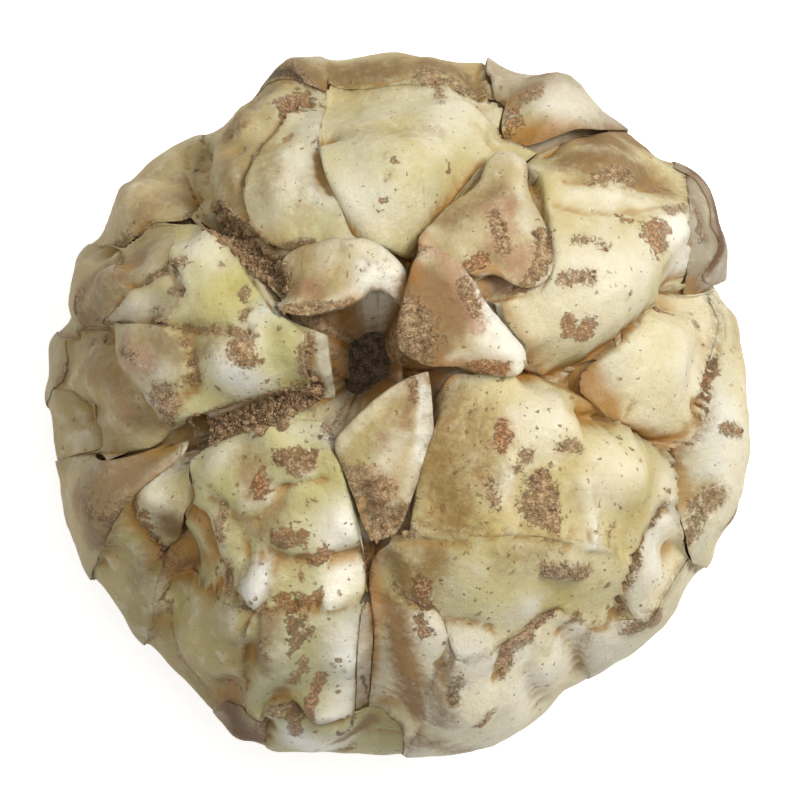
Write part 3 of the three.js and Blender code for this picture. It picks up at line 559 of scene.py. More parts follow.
# ------------------------------------------------------------ back nose
# Two broad swellings side by side, a greyer scale over their west side, one in the hollow beside
# it, and the rim's two outer scales behind them.
back_flesh = flesh("back_flesh", (216, 206, 168), (202, 186, 126), (152, 122, 74))
back_side = flesh("back_side_flesh", (202, 184, 134), (184, 160, 106), (140, 112, 70))
lay("north_scale_1", 3, back_side)
lay("north_scale_2", 3, back_flesh)
lay("north_scale_3", 3, back_flesh)
lay("north_scale_4", 3, back_side)
lay("north_scale_5", 3, back_side)
lay("north_scale_6", 3, back_side)
swell(
    (-1, 33, 8, 1.2), (-5, 27, 4, 0.6), (9, 41, 5, 0.9), (-14.5, 29, 6, 1.5), (-13, 37, 3, 0.5),
    (-19, 41, 4, 0.9), (-22.5, 38, 2.6, 0.5), (-15, 47.5, 3, 0.8), (-29, 34, 3, -0.8),
)
furrow(
    (1.2, 1.1, (-9.5, 37.5), (-12.3, 35), (-11.5, 31), (-9.5, 28), (-6.5, 24.5), (-5.5, 22.5)),
    (0.9, 0.6, (-11, 45), (-13, 41.5), (-17, 39), (-20, 36), (-21.5, 33)),
    (1.3, 0.9, (-22, 33), (-22.5, 28), (-21, 24)),
    (1.6, 1.2, (12, 35.5), (7, 30), (4, 25.5), (2, 21)), (0.8, 0.4, (-27, 37), (-27, 31)),
    (0.6, 0.4, (-12, 46), (-5, 45.6), (3, 45.8), (13, 45.3)),
)
mark(
    "shade",
    (2.0, 0.75, (12, 35.5), (8.5, 31.5), (5, 26.5), (2.2, 21.5)),
    (1.5, 0.5, (-11.8, 34), (-11, 30), (-8, 26), (-5.5, 23)), (2.5, 0.6, (-19, 23), (-14, 21.5)),
    (2.2, 0.75, (-31, 30.5), (-27.5, 28.5), (-25, 27)), (2.0, 0.5, (-22.5, 31), (-22, 26)),
)
mark(
    "tan",
    (4.5, 0.6, (-27, 36), (-22, 40), (-19, 43)), (4, 0.55, (-24, 34), (-24, 29)),
    (3.2, 0.75, (-21, 46), (-12, 47.5), (-3, 48), (5, 48.3), (13, 47.2)),
    (3.5, 0.4, (-8, 38), (0, 37.5), (5, 38.5)), (3.5, 0.5, (-19, 36), (-18, 30)),
    (3.0, 0.4, (-12, 31), (-13, 25)),
)
# Painted highlights on the swellings, with some whiter flesh.
mark(
    "pale",
    (3.0, 0.6, (9.5, 42), (4.5, 38.5), (4.8, 36)), (3.5, 0.7, (-14.5, 33), (-13.8, 27.5)),
    (2.4, 0.8, (-10.8, 42)), (3.0, 0.6, (-12.5, 38.5)), (3.5, 0.6, (-7, 30), (-4.5, 26.5)),
)
mark(
    "green",
    (3.5, 0.5, (11, 35.5), (8, 33)), (2.5, 0.4, (-9, 33), (-9.5, 30)),
    (2.5, 0.5, (-14.5, 25.5), (-9, 23.5)),
)
mark(
    "rust",
    (2.2, 0.95, (-13.6, 42.8), (-14.8, 40.5)), (1.4, 0.8, (-15.3, 36)),
    (1.3, 0.7, (-12, 36.5), (-10.5, 37.5)),
)
mark(
    "soil",
    (1.6, 1.0, (5, 47.5), (4.8, 45.5), (3.3, 46.5)), (1.4, 0.85, (6.5, 46.5), (13.3, 45.8)),
    (0.7, 0.95, (4.6, 44.5), (5.6, 42)), (0.8, 0.9, (-14.7, 21.8), (-12, 22.8)),
    (1.0, 0.8, (-12, 46.3), (-15.5, 47)), (0.8, 0.7, (-24.5, 38), (-21.5, 38.5)),
)
mark("pink", (2.0, 0.8, (-11.5, 45.5), (-10.5, 43.8)))
# Dark lines of dirt and painted shade in the cracks and slits.
mark(
    "dark",
    (0.8, 1.0, (-19.8, 45.4), (-17, 46), (-14.3, 46.3)), (0.35, 0.9, (-7, 46), (-5, 45.9)),
    (0.4, 0.9, (-2.3, 46.8), (-1, 46.4)), (0.7, 1.0, (-31, 30.3), (-28.5, 28), (-25.5, 26)),
)
spots("rust", 1.0, 0.6, (-0.5, 32.5), (-2.5, 27.5), (3, 25.5), (-2, 44.5), (7.5, 34.5), (5.5, 41.5))

# ------------------------------------------------------------ right-back nose
# One broad scale wrinkled across its shoulder, a free-edged flap behind it, a dry strip and a
# curled brown scale on the rim.
right_back_flesh = flesh("right_back_flesh", (222, 212, 176), (204, 188, 134), (142, 110, 62))
flap_flesh = flesh("flap_flesh", (180, 166, 138), (168, 152, 122), (146, 118, 82))
husk_flesh = flesh("husk_flesh", (170, 146, 118), (140, 106, 80), (112, 78, 54))
lay("northeast_scale_1", 3, right_back_flesh)
lay("northeast_scale_2", 3, flap_flesh)
lay("northeast_scale_3", 3, husk_flesh)
lay("northeast_scale_4", 3, flap_flesh, 0.95)
swell((28, 16, 8, 1.3), (37.5, 22, 4, 0.8), (28, 34, 5, 0.6), (22, 45, 4, 0.5))
furrow(
    (0.8, 0.35, (23, 31), (30, 30.4), (38, 30)), (0.8, 0.4, (22, 27), (29, 26.4), (36, 27.3)),
    (0.7, -0.3, (24, 28.8), (33, 28.4)), (0.8, 0.5, (40, 26), (41.8, 21), (44.5, 18)),
    (1.4, 1.2, (17.5, 40), (21, 37), (19.3, 33.5)),
)
mark(
    "shade",
    (2.3, 0.95, (18.5, 39), (21.5, 38), (20, 35.5)), (1.5, 0.7, (19, 33), (21.5, 35.5), (23.5, 38)),
    (2.2, 0.6, (14, 14), (18, 9), (22, 6)), (2.0, 0.5, (20, 5.5), (26, 5.2)),
)
mark("green", (2.5, 0.6, (19, 38.5), (18, 41)), (2.5, 0.5, (35, 16.5), (33.5, 14)))
mark(
    "tan",
    (4, 1.0, (25, 36), (32, 36.5), (35, 34)), (4, 0.8, (23, 33), (30, 32.5), (36, 31)),
    (2.5, 0.7, (20.5, 46.5), (16.5, 44)), (2.0, 0.5, (28, 43), (33, 39.5)),
    (1.6, 0.9, (40.5, 33.2), (43.5, 31), (45.2, 26), (46, 20)), (1.6, 0.6, (41, 28), (43, 23)),
)
# Painted highlights on the swellings, with some whiter flesh.
mark(
    "pale",
    (6, 0.7, (27, 19), (33, 18)), (3.6, 1.8, (38, 23.5), (38.5, 17)),
    (2.4, 0.6, (24, 28.8), (34, 28.4)), (2.6, 0.6, (22, 42.5), (28, 41)),
)
mark(
    "soil",
    (1.2, 0.85, (27, 31), (29.5, 31.3), (32, 30.7)), (1.2, 0.7, (28, 37.3), (33, 36.8)),
    (1.0, 0.6, (35, 30.3), (37.5, 30)), (1.2, 0.8, (22.5, 17), (25.5, 17.3)),
    (1.1, 0.6, (24, 22.5), (28, 21.5)), (1.0, 0.8, (36.5, 26.5), (38.2, 26.6)),
    (1.0, 0.75, (18, 44.5), (19.6, 44)), (0.9, 0.7, (41.3, 27), (42.3, 23.5)),
)
mark(
    "rust",
    (2.4, 1.0, (34.4, 23.5), (34.8, 22.5)), (1.1, 0.95, (23.6, 11.8), (24, 10.6)),
    (1.2, 1.0, (26.5, 11), (25.7, 9.6)), (1.0, 0.7, (30, 26), (31.5, 25.5)),
    (1.5, 0.7, (17, 42.5), (17.2, 41)),
)
# Dark lines of dirt and painted shade in the cracks and slits.
mark(
    "dark",
    (0.8, 1.0, (38.5, 33), (39.2, 30.5)), (1.3, 1.1, (40.7, 31.3), (42, 30)),
    (0.35, 1.0, (42, 29), (43.5, 26), (45, 22.5)),
)
spots("soil", 0.6, 0.7, (24, 46), (25, 44), (24.5, 43.2), (20.5, 6.4), (33, 20.5), (31, 15))

# ------------------------------------------------------------ right nose
# A low dome of firm flesh held between its neighbours, and the long scale that wraps the rim
# beside it, both grown from the plate below.
right_flesh = flesh("right_flesh", (232, 223, 192), (220, 206, 160), (176, 146, 98))
lay("east_scale_1", 3, right_flesh)
lay("east_scale_2", 3, right_flesh)
swell((38, 6, 6, 1.3), (45.5, -3, 5, 0.6), (44, 13, 3, 0.4))
furrow(
    (0.5, 0.5, (33.3, -3.5), (33, -1.8), (34, -0.2)),
    (0.9, 0.8, (46.8, 7.5), (45.5, 5), (43.2, 1.5), (41.5, -0.8), (41.6, -4)),
    (1.0, 0.9, (36.5, 17), (34, 13.5), (31.5, 9.5), (28, 6), (25, 4.3)),
    (1.2, 1.3, (28, -2.8), (33, -4), (37, -5.5), (40.5, -8)),
    (0.6, 0.35, (43.7, 16), (46, 12), (47, 9)),
)
mark(
    "shade",
    (2.8, 1.0, (25.5, 3.4), (28, 1.5), (28.3, -1.5)), (2.2, 0.8, (29, 3), (31, -2), (35, -3.6)),
    (2.0, 1.0, (35, -3.8), (38, -5), (40.6, -6.8)), (1.6, 0.5, (36, 16.5), (33.5, 13), (31, 9)),
    (2.2, 1.5, (20, 4), (25, 3.8), (28.5, 1), (30.5, -1.5)),
    (1.4, 0.8, (25, 4.5), (28, 6), (31.5, 9.5), (35, 13)),
)
mark("green", (2.6, 0.45, (36.5, 8.5)))
# Painted highlights on the swellings, with some whiter flesh.
mark("pale", (4.5, 0.7, (39, 7), (42, 3)), (5, 0.6, (46, 0), (46, -9)))
mark("tan", (2.0, 0.5, (47.5, 14), (48.8, 8)), (3.2, 0.6, (45, -13), (43, -18)))
mark(
    "rust",
    (1.2, 1.0, (46.3, 6.5), (45, 4), (43.5, 1.8), (42.2, 0.2)),
    (0.9, 0.9, (40.5, -6.8), (41, -8.5)),
)
mark(
    "soil",
    (0.9, 0.85, (46.3, 6.8), (45.2, 4.5)), (1.1, 0.95, (46.3, -3.6), (48.2, -3.9)),
    (2.0, 0.75, (45.6, -13.5), (43.5, -17), (41.2, -21), (41.3, -17.8)),
    (0.9, 0.8, (48, -15), (46.8, -17.5)), (0.5, 0.9, (36.8, 12.9), (38.4, 12.7)),
    (0.6, 0.7, (40.6, 12.6), (41.4, 10.8)),
)
spots(
    "soil", 0.5, 0.85,
    (38, 13.2), (42, 8.3), (45.2, 8.6), (35.6, 14.3), (43, 12.8), (42.3, -5.7), (41, -1.5),
)

# ------------------------------------------------------------ front-right nose
# The broadest nose: one great lumpy scale on top, a second under its lower lip, and four outer
# ones down to the rim.
front_right_flesh = flesh(
    "front_right_flesh", (222, 208, 160), (200, 182, 118), (152, 120, 64), 1.4
)
outer_flesh = flesh("outer_flesh", (238, 229, 202), (224, 210, 166), (148, 114, 70), 1.2)
for number in (1, 2):
    lay("southeast_scale_%d" % number, 3, front_right_flesh)
for number in (4, 5, 6):
    lay("southeast_scale_%d" % number, 3, outer_flesh)
lay("southeast_scale_3", 3, outer_flesh)
swell(
    (22, -3, 6, 1.0), (8, -8, 6, 0.5), (33, -10, 5, 0.8), (10, -15, 5, 0.4), (20, -13, 2.6, 0.6),
    (2, -24, 4, 0.8), (18, -29, 3.2, 0.9), (10, -26, 4, 0.5), (23.5, -23.5, 2.6, 0.8),
    (37, -23, 4, 0.6), (35, -30, 3, 0.6), (10, -33.5, 3, 0.6), (20, -39, 5, 0.8), (9, -43, 4, 0.7),
    (1, -38, 3, 0.5),
)
furrow(
    (1.2, -0.5, (15.2, -8), (14.2, -11), (13.5, -14)),
    (1.0, -0.7, (25.8, -11), (26.8, -15), (27.3, -19.3)),
    (0.7, 0.5, (-0.5, -20.3), (5, -20.6), (9, -20.6), (11, -20)),
    (0.7, -0.45, (11.4, -20), (11.5, -18.4), (13, -17.8), (18, -18.2), (22, -18.9), (27, -20.5),
     (31, -21)),
    (0.8, 0.5, (11.8, -19.5), (14, -19), (19, -19.4), (24, -20.5)),
    (0.9, 0.5, (0.5, -27), (4, -29), (8, -30), (13, -32)),
    (0.9, 0.7, (13.5, -38.5), (15.5, -35.5), (19, -33.5), (24, -31)),
    (0.8, 0.5, (5, -30.5), (6.5, -33.5), (5.6, -36.5), (7, -41)),
    (0.9, 0.8, (37.5, -15.5), (35.5, -19.5), (33, -24), (31.3, -28), (31, -32)),
    (1.0, -0.3, (24, -36.5), (20, -34.8)),
)
mark(
    "tan",
    (6, 0.7, (6, 0), (7, -8), (8, -15)), (4, 0.6, (11, -2), (12, -10)),
    (3.5, 0.75, (0, -23), (2, -26), (5, -22)), (3, 0.5, (14, -22), (22, -21)),
    (3.2, 0.85, (-1, -31), (1, -37), (2, -43)), (3, 0.6, (6, -38), (6, -44)),
    (3, 0.5, (34, -32), (37, -28)), (3, 0.55, (-3, -46), (3, -48), (10, -49)),
)
mark(
    "green",
    (4, 0.45, (8, -14), (11, -17)), (3, 0.4, (24, -15), (22, -17)), (4, 0.55, (11, -27), (15, -25)),
    (2.2, 0.4, (24, -28), (28, -27)),
)
# Painted highlights on the swellings and ridges, with some whiter flesh.
mark(
    "pale",
    (4.5, 0.7, (21, -1), (19, -4)), (4, 0.65, (27.5, -13), (30, -9)),
    (1.3, 0.9, (15.2, -9.5), (14.2, -12.5)), (1.2, 1.0, (27, -16), (27.4, -19.5)),
    (3.4, 0.8, (36, -11), (38, -17), (37, -22)), (2.6, 0.9, (18.2, -29)),
    (3.2, 0.85, (10.5, -33.5), (8, -33)), (4, 0.6, (21, -40), (14, -45)),
    (2.6, 0.6, (27, -33), (24, -37)),
)
mark("pink", (1.6, 1.05, (14.7, -3), (14.5, -5.8)), (2.0, 0.8, (21.5, -23), (26, -23.8)))
mark(
    "rust",
    (1.0, 0.9, (14.6, -3.2), (14.4, -6)), (1.2, 1.0, (3.3, -25), (3.2, -28)),
    (0.8, 0.9, (35.5, -20), (34.5, -22.5)), (1.6, 1.0, (36.2, -29), (36.4, -31)),
    (1.0, 0.8, (3, -31.5), (3.4, -32.8)),
)
mark(
    "soil",
    (1.3, 0.75, (17.6, -6.8), (16.8, -8.6)), (1.3, 0.7, (22.5, -5.7), (25, -6)),
    (2.4, 0.95, (19.5, -11.5), (18.5, -14.3), (20.5, -15.5)),
    (1.0, 0.9, (19.8, -9.8), (21.4, -12), (21.5, -17.5)), (0.9, 0.7, (12.7, -10.5), (13.3, -14)),
    (1.4, 0.95, (21, -24), (23.5, -23.4), (26.3, -24)), (0.7, 0.7, (-0.5, -26.5), (5, -29.3)),
    (1.0, 0.9, (37.3, -15.2), (36.3, -18.3)),
    (1.1, 0.85, (34.2, -22.5), (32.5, -25), (30.8, -28.5)),
    (1.1, 0.85, (36.2, -29.5), (35, -31.3), (33, -33)),
    (1.2, 0.95, (14.3, -37.8), (16.3, -35.3), (18.5, -34.2), (23, -31.3)),
    (1.0, 0.8, (25.6, -30.5), (25.8, -32.5)), (1.2, 0.85, (12, -41.5), (10.5, -43.5)),
    (1.0, 0.7, (8.5, -38.5), (7.4, -41)), (1.0, 0.75, (11, -48.5), (10.5, -49.6)),
    (0.8, 0.6, (1, -38), (3, -40)), (0.8, 0.7, (29.5, -18.5), (30.5, -17.5)),
)
mark(
    "shade",
    (1.0, 0.9, (31.2, -30.5), (31.4, -32.3), (29.5, -33.2)),
    (1.4, 0.8, (-2.8, -22.5), (-3.2, -27), (-2.8, -31), (-3.3, -36), (-3.8, -41)),
)
spots(
    "soil", 0.5, 0.8,
    (8, -7.5), (9, -6.8), (4.5, -19.8), (8.5, -19.8), (15.5, -21.2), (16, -23.5), (12.5, -22.8),
    (11, -29.6), (29.5, -25.5), (28.6, -25.2), (38, -11.8), (37.2, -11.5), (33.6, -7.7), (5, -45.3),
)
spots(
    "soil", 0.5, 0.7,
    (38.2, -23.6), (39.5, -26.8), (24.8, -38), (19.2, -39.6), (16.7, -42.8), (21, -21.6),
    (2, -47.8),
)

# ------------------------------------------------------------ front-left nose
# The most knobbly nose: a lumpy scale with white swellings, a pale narrow one, a brown one in the
# hollow, a white nub, and the outer scales below them.
front_left_flesh = flesh("front_left_flesh", (192, 185, 138), (184, 172, 106), (150, 122, 80), 1.3)
recess_flesh = flesh("recess_flesh", (158, 126, 78), (138, 106, 64), (112, 82, 52), 1.3)
lower_flesh = flesh("lower_flesh", (180, 164, 110), (162, 144, 90), (130, 104, 62))
lay("southwest_scale_1", 3, recess_flesh)
lay("southwest_scale_2", 3, front_left_flesh)
lay("southwest_scale_3", 3, lower_flesh)
lay("southwest_scale_4", 3, front_left_flesh)
lay("southwest_scale_5", 3, lower_flesh)
lay("southwest_scale_6", 3, lower_flesh)
lay("southwest_scale_7", 3, front_left_flesh)
lay("southwest_scale_8", 3, recess_flesh)
lay("southwest_scale_9", 3, recess_flesh)
lay("southwest_scale_10", 3, front_left_flesh)
swell(
    (-25.5, -8.5, 4, 0.9), (-16.5, -3, 3.6, 1.0), (-15, -8, 3, 0.6), (-8, -16, 3.6, 1.3),
    (-22, -13, 3.4, 0.7), (-15, -18.5, 3, 0.7), (-11.5, -21.5, 2.5, 0.4), (-9, -26, 3.6, 1.3),
    (-24.5, -17.5, 2.6, 0.6), (-20, -25.3, 2.2, 1.2), (-34, -13, 2.5, 0.8), (-39, -20, 3.5, 0.7),
    (-29, -32, 5, 1.1), (-24, -37, 4, 0.6), (-8, -34.5, 4, 1.2), (-15, -34.5, 3.6, 0.9),
    (-10, -41.5, 3.6, 1.1), (-18, -43.5, 2.2, 0.9), (-12, -47, 3, 0.5), (-22.5, -45.5, 2.4, 0.5),
    (-31, -19, 3, -0.9),
)
furrow(
    (0.6, 0.5, (-17, -12.3), (-14, -11.6), (-11, -11.2)),
    (0.8, 0.6, (-20, -16.8), (-17.8, -14.5), (-16.5, -12.6)),
    (1.0, 0.5, (-26.5, -13.5), (-24, -14.5), (-22.5, -17.5), (-21.5, -21)),
    (1.0, 0.6, (-6.5, -20.5), (-10, -22.5), (-14, -22.5), (-18, -21.5)),
    (1.2, 1.0, (-30, -13.5), (-27.5, -18), (-26.8, -22), (-24, -24.5)),
    (0.9, 0.9, (-36.5, -21.5), (-35, -24.5), (-30, -26.3), (-25, -26.8), (-21, -28.5),
     (-17, -29), (-12, -28.6)),
    (0.8, 0.7, (-36.9, -13), (-36.6, -18), (-36.2, -23)), (0.8, 0.6, (-35.3, -26), (-35.2, -31)),
    (1.3, 0.8, (-21.3, -30.5), (-21, -35), (-21.5, -41)),
    (0.9, 0.7, (-19, -42.3), (-15, -41.5), (-12, -44), (-7, -45.8)),
    (0.8, 0.7, (-18.5, -44), (-18.6, -47.5)), (1.0, 0.6, (-4.5, -12), (-4, -19)),
)
mark(
    "green",
    (4, 0.9, (-14, -1.5), (-17, -3)), (3, 0.6, (-20, -7), (-24, -12)),
    (3, 0.6, (-13, -13), (-9, -10)), (2.5, 0.6, (-4.5, -27), (-8.5, -30)),
    (3, 0.5, (-9.5, -36), (-12, -38)), (4, 0.35, (-30, -33), (-33, -28)),
    (2.5, 0.5, (-37.5, -14), (-40, -18)),
)
# Painted highlights on the swellings, with some whiter flesh.
mark(
    "pale",
    (2.4, 0.6, (-18, -4), (-25, -7.5)), (3.0, 1.4, (-8, -15.5), (-9, -18)),
    (3.0, 1.4, (-8.5, -25.5), (-7, -23)), (2.0, 0.9, (-19.5, -12.5), (-20.5, -11.5)),
    (1.4, 0.9, (-13, -9.8)), (1.6, 1.3, (-20.8, -25.5), (-19.3, -24.5), (-19.6, -22.8)),
    (3.2, 1.3, (-7.5, -31), (-7.5, -38), (-9, -42)), (2.4, 0.5, (-33.5, -13), (-34.5, -17)),
    (3.4, 1.5, (-14, -46.3), (-10, -47.5)), (2.4, 0.6, (-15, -3.5)),
)
mark(
    "tan",
    (3, 0.6, (-22, -16), (-19, -18), (-17, -15)), (3, 0.7, (-18.5, -30), (-19.5, -36)),
    (3.2, 0.9, (-32, -17), (-31, -21), (-28, -23)),
    (2.4, 0.8, (-22.5, -44), (-20, -45.5), (-21, -48)), (3, 0.6, (-24, -40), (-22, -36)),
    (3, 0.5, (-38, -26), (-36.5, -22)), (3, 0.45, (-30, -38), (-26, -41.5)),
    (1.5, 0.9, (-16, -38.5)), (2.0, 0.9, (-8, -47.5), (-4, -47.5)), (3, 0.7, (-20, -12), (-21, -8)),
    (3, 0.9, (-22, -45), (-25, -42)),
)
mark(
    "shade",
    (1.6, 0.9, (-29.5, -15), (-28, -19), (-27, -22.5)),
    (1.5, 0.8, (-35, -24), (-30, -26), (-24, -26.8)),
    (1.5, 0.75, (-36.5, -12), (-36.6, -18), (-36, -23)),
    (1.3, 0.7, (-20.5, -29.5), (-17, -29), (-12, -28.3)),
    (1.2, 0.8, (-4.8, -14), (-4.3, -20), (-3.6, -23), (-3.6, -27)),
)
mark(
    "rust",
    (1.3, 1.0, (-16.5, -7.3), (-12.5, -7.3)), (1.2, 0.9, (-19.5, -10.3), (-19.2, -12.5)),
    (1.4, 1.1, (-16.8, -18.5), (-13.8, -18.2)), (1.6, 1.2, (-5.5, -18.5), (-5, -21.5)),
    (1.2, 1.1, (-13.3, -21.3), (-11.5, -22.5), (-10, -21)),
    (1.0, 1.1, (-16.5, -26.6), (-13, -27.4), (-11, -26.5)), (1.5, 0.8, (-15.5, -31), (-14, -32.5)),
    (1.3, 0.75, (-13, -34.5), (-14.5, -37)), (0.8, 1.1, (-10.3, -36), (-11.5, -38), (-12.2, -40)),
    (1.5, 1.0, (-18.8, -43), (-18.7, -44.8)), (1.3, 0.9, (-15, -43), (-14.5, -45.5)),
    (1.6, 1.0, (-24.2, -39.2)), (0.8, 0.7, (-28, -39.3), (-33.5, -33), (-35.5, -13)),
)
mark(
    "soil",
    (1.6, 0.95, (-16.3, -7), (-14, -8.8), (-12.5, -7.5)), (1.0, 0.8, (-16.5, -19), (-14, -18)),
    (1.2, 0.85, (-22, -29), (-19.5, -29.5), (-17.8, -29)), (1.2, 0.95, (-24.3, -22.5), (-24, -25)),
    (1.0, 0.8, (-24.5, -14), (-24.8, -18.8)), (1.3, 0.6, (-14, -31), (-12.5, -32)),
    (0.8, 0.85, (-19.5, -34.7), (-18.5, -34.8)), (1.3, 0.7, (-17, -43), (-12.5, -42.8)),
    (1.2, 0.8, (-8.5, -48.7), (-7, -49)), (1.2, 0.6, (-24.2, -39)),
    (0.8, 0.7, (-23, -47.3), (-21.5, -48)), (1.4, 0.7, (-32, -21.5), (-33, -23)),
    (0.7, 0.9, (-26.6, -24.5)), (1.2, 0.8, (-7.5, -8.5), (-6, -11), (-5, -13.5)),
)
# Dark lines of dirt and painted shade in the cracks and slits.
mark(
    "dark",
    (0.6, 1.1, (-36, -22.8), (-35, -24.6), (-33.8, -25.1)),
    (0.5, 1.0, (-8.8, -46), (-7.5, -46.6), (-6.5, -46.2)),
    (0.4, 1.0, (-3.4, -23), (-3.3, -26.5), (-2.9, -29.5)), (0.4, 1.1, (-5.3, -39.5), (-4.2, -42)),
    (0.9, 0.6, (-2.7, -21), (-3, -27), (-3.2, -33), (-4, -42)),
)
spots(
    "soil", 0.45, 0.85,
    (-25.7, -11.9), (-22.4, -11.2), (-22.2, -15), (-22.8, -20.5), (-20.2, -26.2), (-19.8, -23.1),
)
spots(
    "soil", 0.5, 0.85,
    (-13, -13.8), (-12, -13.5), (-11, -10.6), (-14.8, -23.8), (-13.7, -24.5), (-9, -34.6),
    (-7.6, -34.8),
)
spots(
    "soil", 0.45, 0.8,
    (-31, -34.3), (-33, -33.8), (-30.4, -28.8), (-40.7, -20), (-42, -18.9), (-15, -46.8),
    (-15.2, -44.8),
)

# ------------------------------------------------------------ left nose
# A wide nose greyed by dry soil: the scale by the pit, the big lumpy yellow-green one, three that
# overlap it, and the rim's scales round it.
left_flesh = flesh("left_flesh", (218, 210, 164), (196, 186, 118), (160, 138, 104), 1.2)
dusty_flesh = flesh("dusty_flesh", (196, 176, 130), (176, 154, 104), (152, 124, 84), 0.9)
# The scale by the pit has grey-green flesh darkened with painted shade of the pit.
shaded_pit_wall = flesh("pit_wall_flesh", (140, 122, 86), (116, 98, 66), (94, 76, 54))
lay("west_scale_1", 3, shaded_pit_wall)
lay("west_scale_2", 3, left_flesh)
for number in (3, 4, 5, 6):
    lay("west_scale_%d" % number, 3, dusty_flesh)
for number in (7, 8, 9, 10):
    lay("west_scale_%d" % number, 3, dusty_flesh)
swell(
    (-27, 21.5, 4.5, 1.2), (-23, 5, 4.5, 1.2), (-19, 12, 3.5, 0.8), (-27, 14.5, 3, 0.5),
    (-37.5, 7, 3.6, 0.9), (-34, 4, 3, 0.5), (-41, 18.5, 3.5, 0.8), (-37, 14, 2, 0.4),
    (-41, -3.5, 4, 0.9), (-45, 4, 3, 0.6), (-42, -14, 4, 0.6), (-37, 30, 5, 0.6), (-15, 7, 3, 0.5),
)
furrow(
    (1.1, 0.8, (-44, 11), (-40, 11.2), (-36, 11.8), (-31, 10.8), (-26, 10.2), (-21.5, 10)),
    (1.3, 0.8, (-29.7, 9.5), (-29.3, 6), (-29.3, 2)),
    (0.9, 0.6, (-31.5, 16.5), (-33.8, 19.5), (-37.5, 17), (-41, 15), (-45, 12)),
    (0.7, 0.9, (-39.5, 22.8), (-37.5, 23.6), (-35.3, 25.3)),
    (1.5, 0.7, (-43, 9), (-41.5, 4), (-38, 1), (-35, -3)), (1.2, -0.4, (-35.5, 1), (-33, -5)),
    (1.0, 0.7, (-49, -1.5), (-46, -6), (-42, -8.3), (-37, -8.5)),
    (0.9, 0.6, (-35.5, -9.8), (-40, -15), (-44, -22)),
    (1.2, 1.6, (-31, 30), (-28, 27.3), (-24, 25.3), (-21, 22), (-19, 19.3), (-18.4, 16.5)),
    (0.7, 0.6, (-31.5, 36.5), (-31.3, 31)), (0.9, 0.5, (-43.5, 22), (-40, 21.8), (-37, 24)),
    (0.9, 0.3, (-24, 16), (-20, 18.5)),
    (2.0, 1.6, (-33, -7.5), (-31, -4), (-27, -4), (-24, -1.5), (-18, 0), (-14, 0.5)),
    (1.8, 1.2, (-49, -2.5), (-44, -7.5), (-38, -8.5), (-33, -6)),
)
mark(
    "green",
    (4, 1.0, (-26, 14), (-22, 15.5)), (3, 0.9, (-17, 9.5), (-15.5, 6), (-15, 11)),
    (3, 0.6, (-31, 3), (-28, 1.5)), (2.5, 0.5, (-33, 16)),
)
# Painted highlights on the swellings, with some whiter flesh.
mark(
    "pale",
    (3.2, 0.7, (-29, 22), (-26.5, 20)), (3.2, 0.9, (-19.5, 12.5), (-20, 10)),
    (2.8, 1.2, (-24, 5), (-21.5, 3.5)), (3.2, 0.6, (-30, 18), (-28, 15)),
    (3, 0.55, (-34.5, 3.5), (-36, 5)), (2, 0.5, (-39, 13), (-35, 14.5)),
)
mark(
    "tan",
    (4, 0.7, (-45, 12), (-42, 17), (-37, 21)), (3.5, 0.7, (-45, 6), (-41, 2), (-38, -2)),
    (4.5, 0.5, (-43, -3), (-39, -5)), (5, 0.8, (-45, -14), (-40, -11), (-44, -19)),
    (4, 0.55, (-33, 9), (-29, 8), (-26, 9)), (5, 0.35, (-37, 33), (-40, 26)),
    (3, 0.6, (-31, 35), (-36, 27)), (3, 0.8, (-50, 4)), (3, 0.9, (-46, 12), (-45, 16), (-43, 19)),
)
mark("pink", (2.7, 1.1, (-38.5, 7), (-36, 5.8)), (2.4, 0.6, (-22, 8), (-21.5, 6)))
mark(
    "soil",
    (1.5, 0.6, (-39, 7.5), (-37, 6.5)), (1.6, 0.95, (-34.5, 12), (-32.5, 11)),
    (1.2, 0.75, (-38.5, 11), (-36, 11.7)), (0.9, 0.7, (-30.5, 10.6), (-23.2, 10.2)),
    (1.2, 0.8, (-30, 8), (-29, 5), (-29.4, 3)), (1.9, 0.95, (-21.8, 8.5), (-21, 6.5)),
    (1.1, 0.9, (-34.7, 18.6), (-37, 17)), (1.0, 0.85, (-31.8, 19), (-30, 19.8)),
    (0.8, 0.7, (-32.5, 16), (-31.5, 15.7)), (0.9, 0.7, (-22, 14.6), (-22, 15.4)),
    (0.7, 0.8, (-22, 12), (-21, 13)), (1.6, 0.85, (-46.5, 13.5), (-45.3, 15.5)),
    (1.3, 0.6, (-40, 22.3), (-38, 25)), (1.2, 0.7, (-41.5, 20.6), (-43, 19.3)),
    (1.6, 0.6, (-44, 12), (-41, 12)), (1.0, 0.6, (-43, 9), (-46, 8.8)),
    (1.5, 0.8, (-41, -7.5), (-38.5, -7.8)), (1.0, 0.7, (-39.5, -14.5), (-41.8, -17.5)),
    (1.4, 0.9, (-49.3, 6), (-49.6, 3), (-49, 0.5)),
    (2.0, 1.0, (-33.5, 1.2), (-32, -0.8), (-31, -3)),
    (2.2, 1.1, (-31, -6), (-28, -4), (-24, -1.8), (-20, -0.5), (-16, 1)),
    (1.8, 0.9, (-34, -7), (-31.5, -7.5)),
    (1.4, 1.0, (-28.5, 26.8), (-25.5, 25.8), (-22, 22.5), (-20, 20.3)),
    (0.9, 0.8, (-22.5, 21), (-21.5, 20.3)), (1.3, 0.8, (-12.5, 9), (-13.5, 5), (-12.3, 2.5)),
    (2.6, 0.4, (-33, -5), (-27, -3), (-22, -1)), (2.2, 0.5, (-46, 12), (-45.5, 16)),
    (2.4, 0.5, (-30, 28), (-26, 26.5), (-22, 23), (-19.5, 19.5)),
)
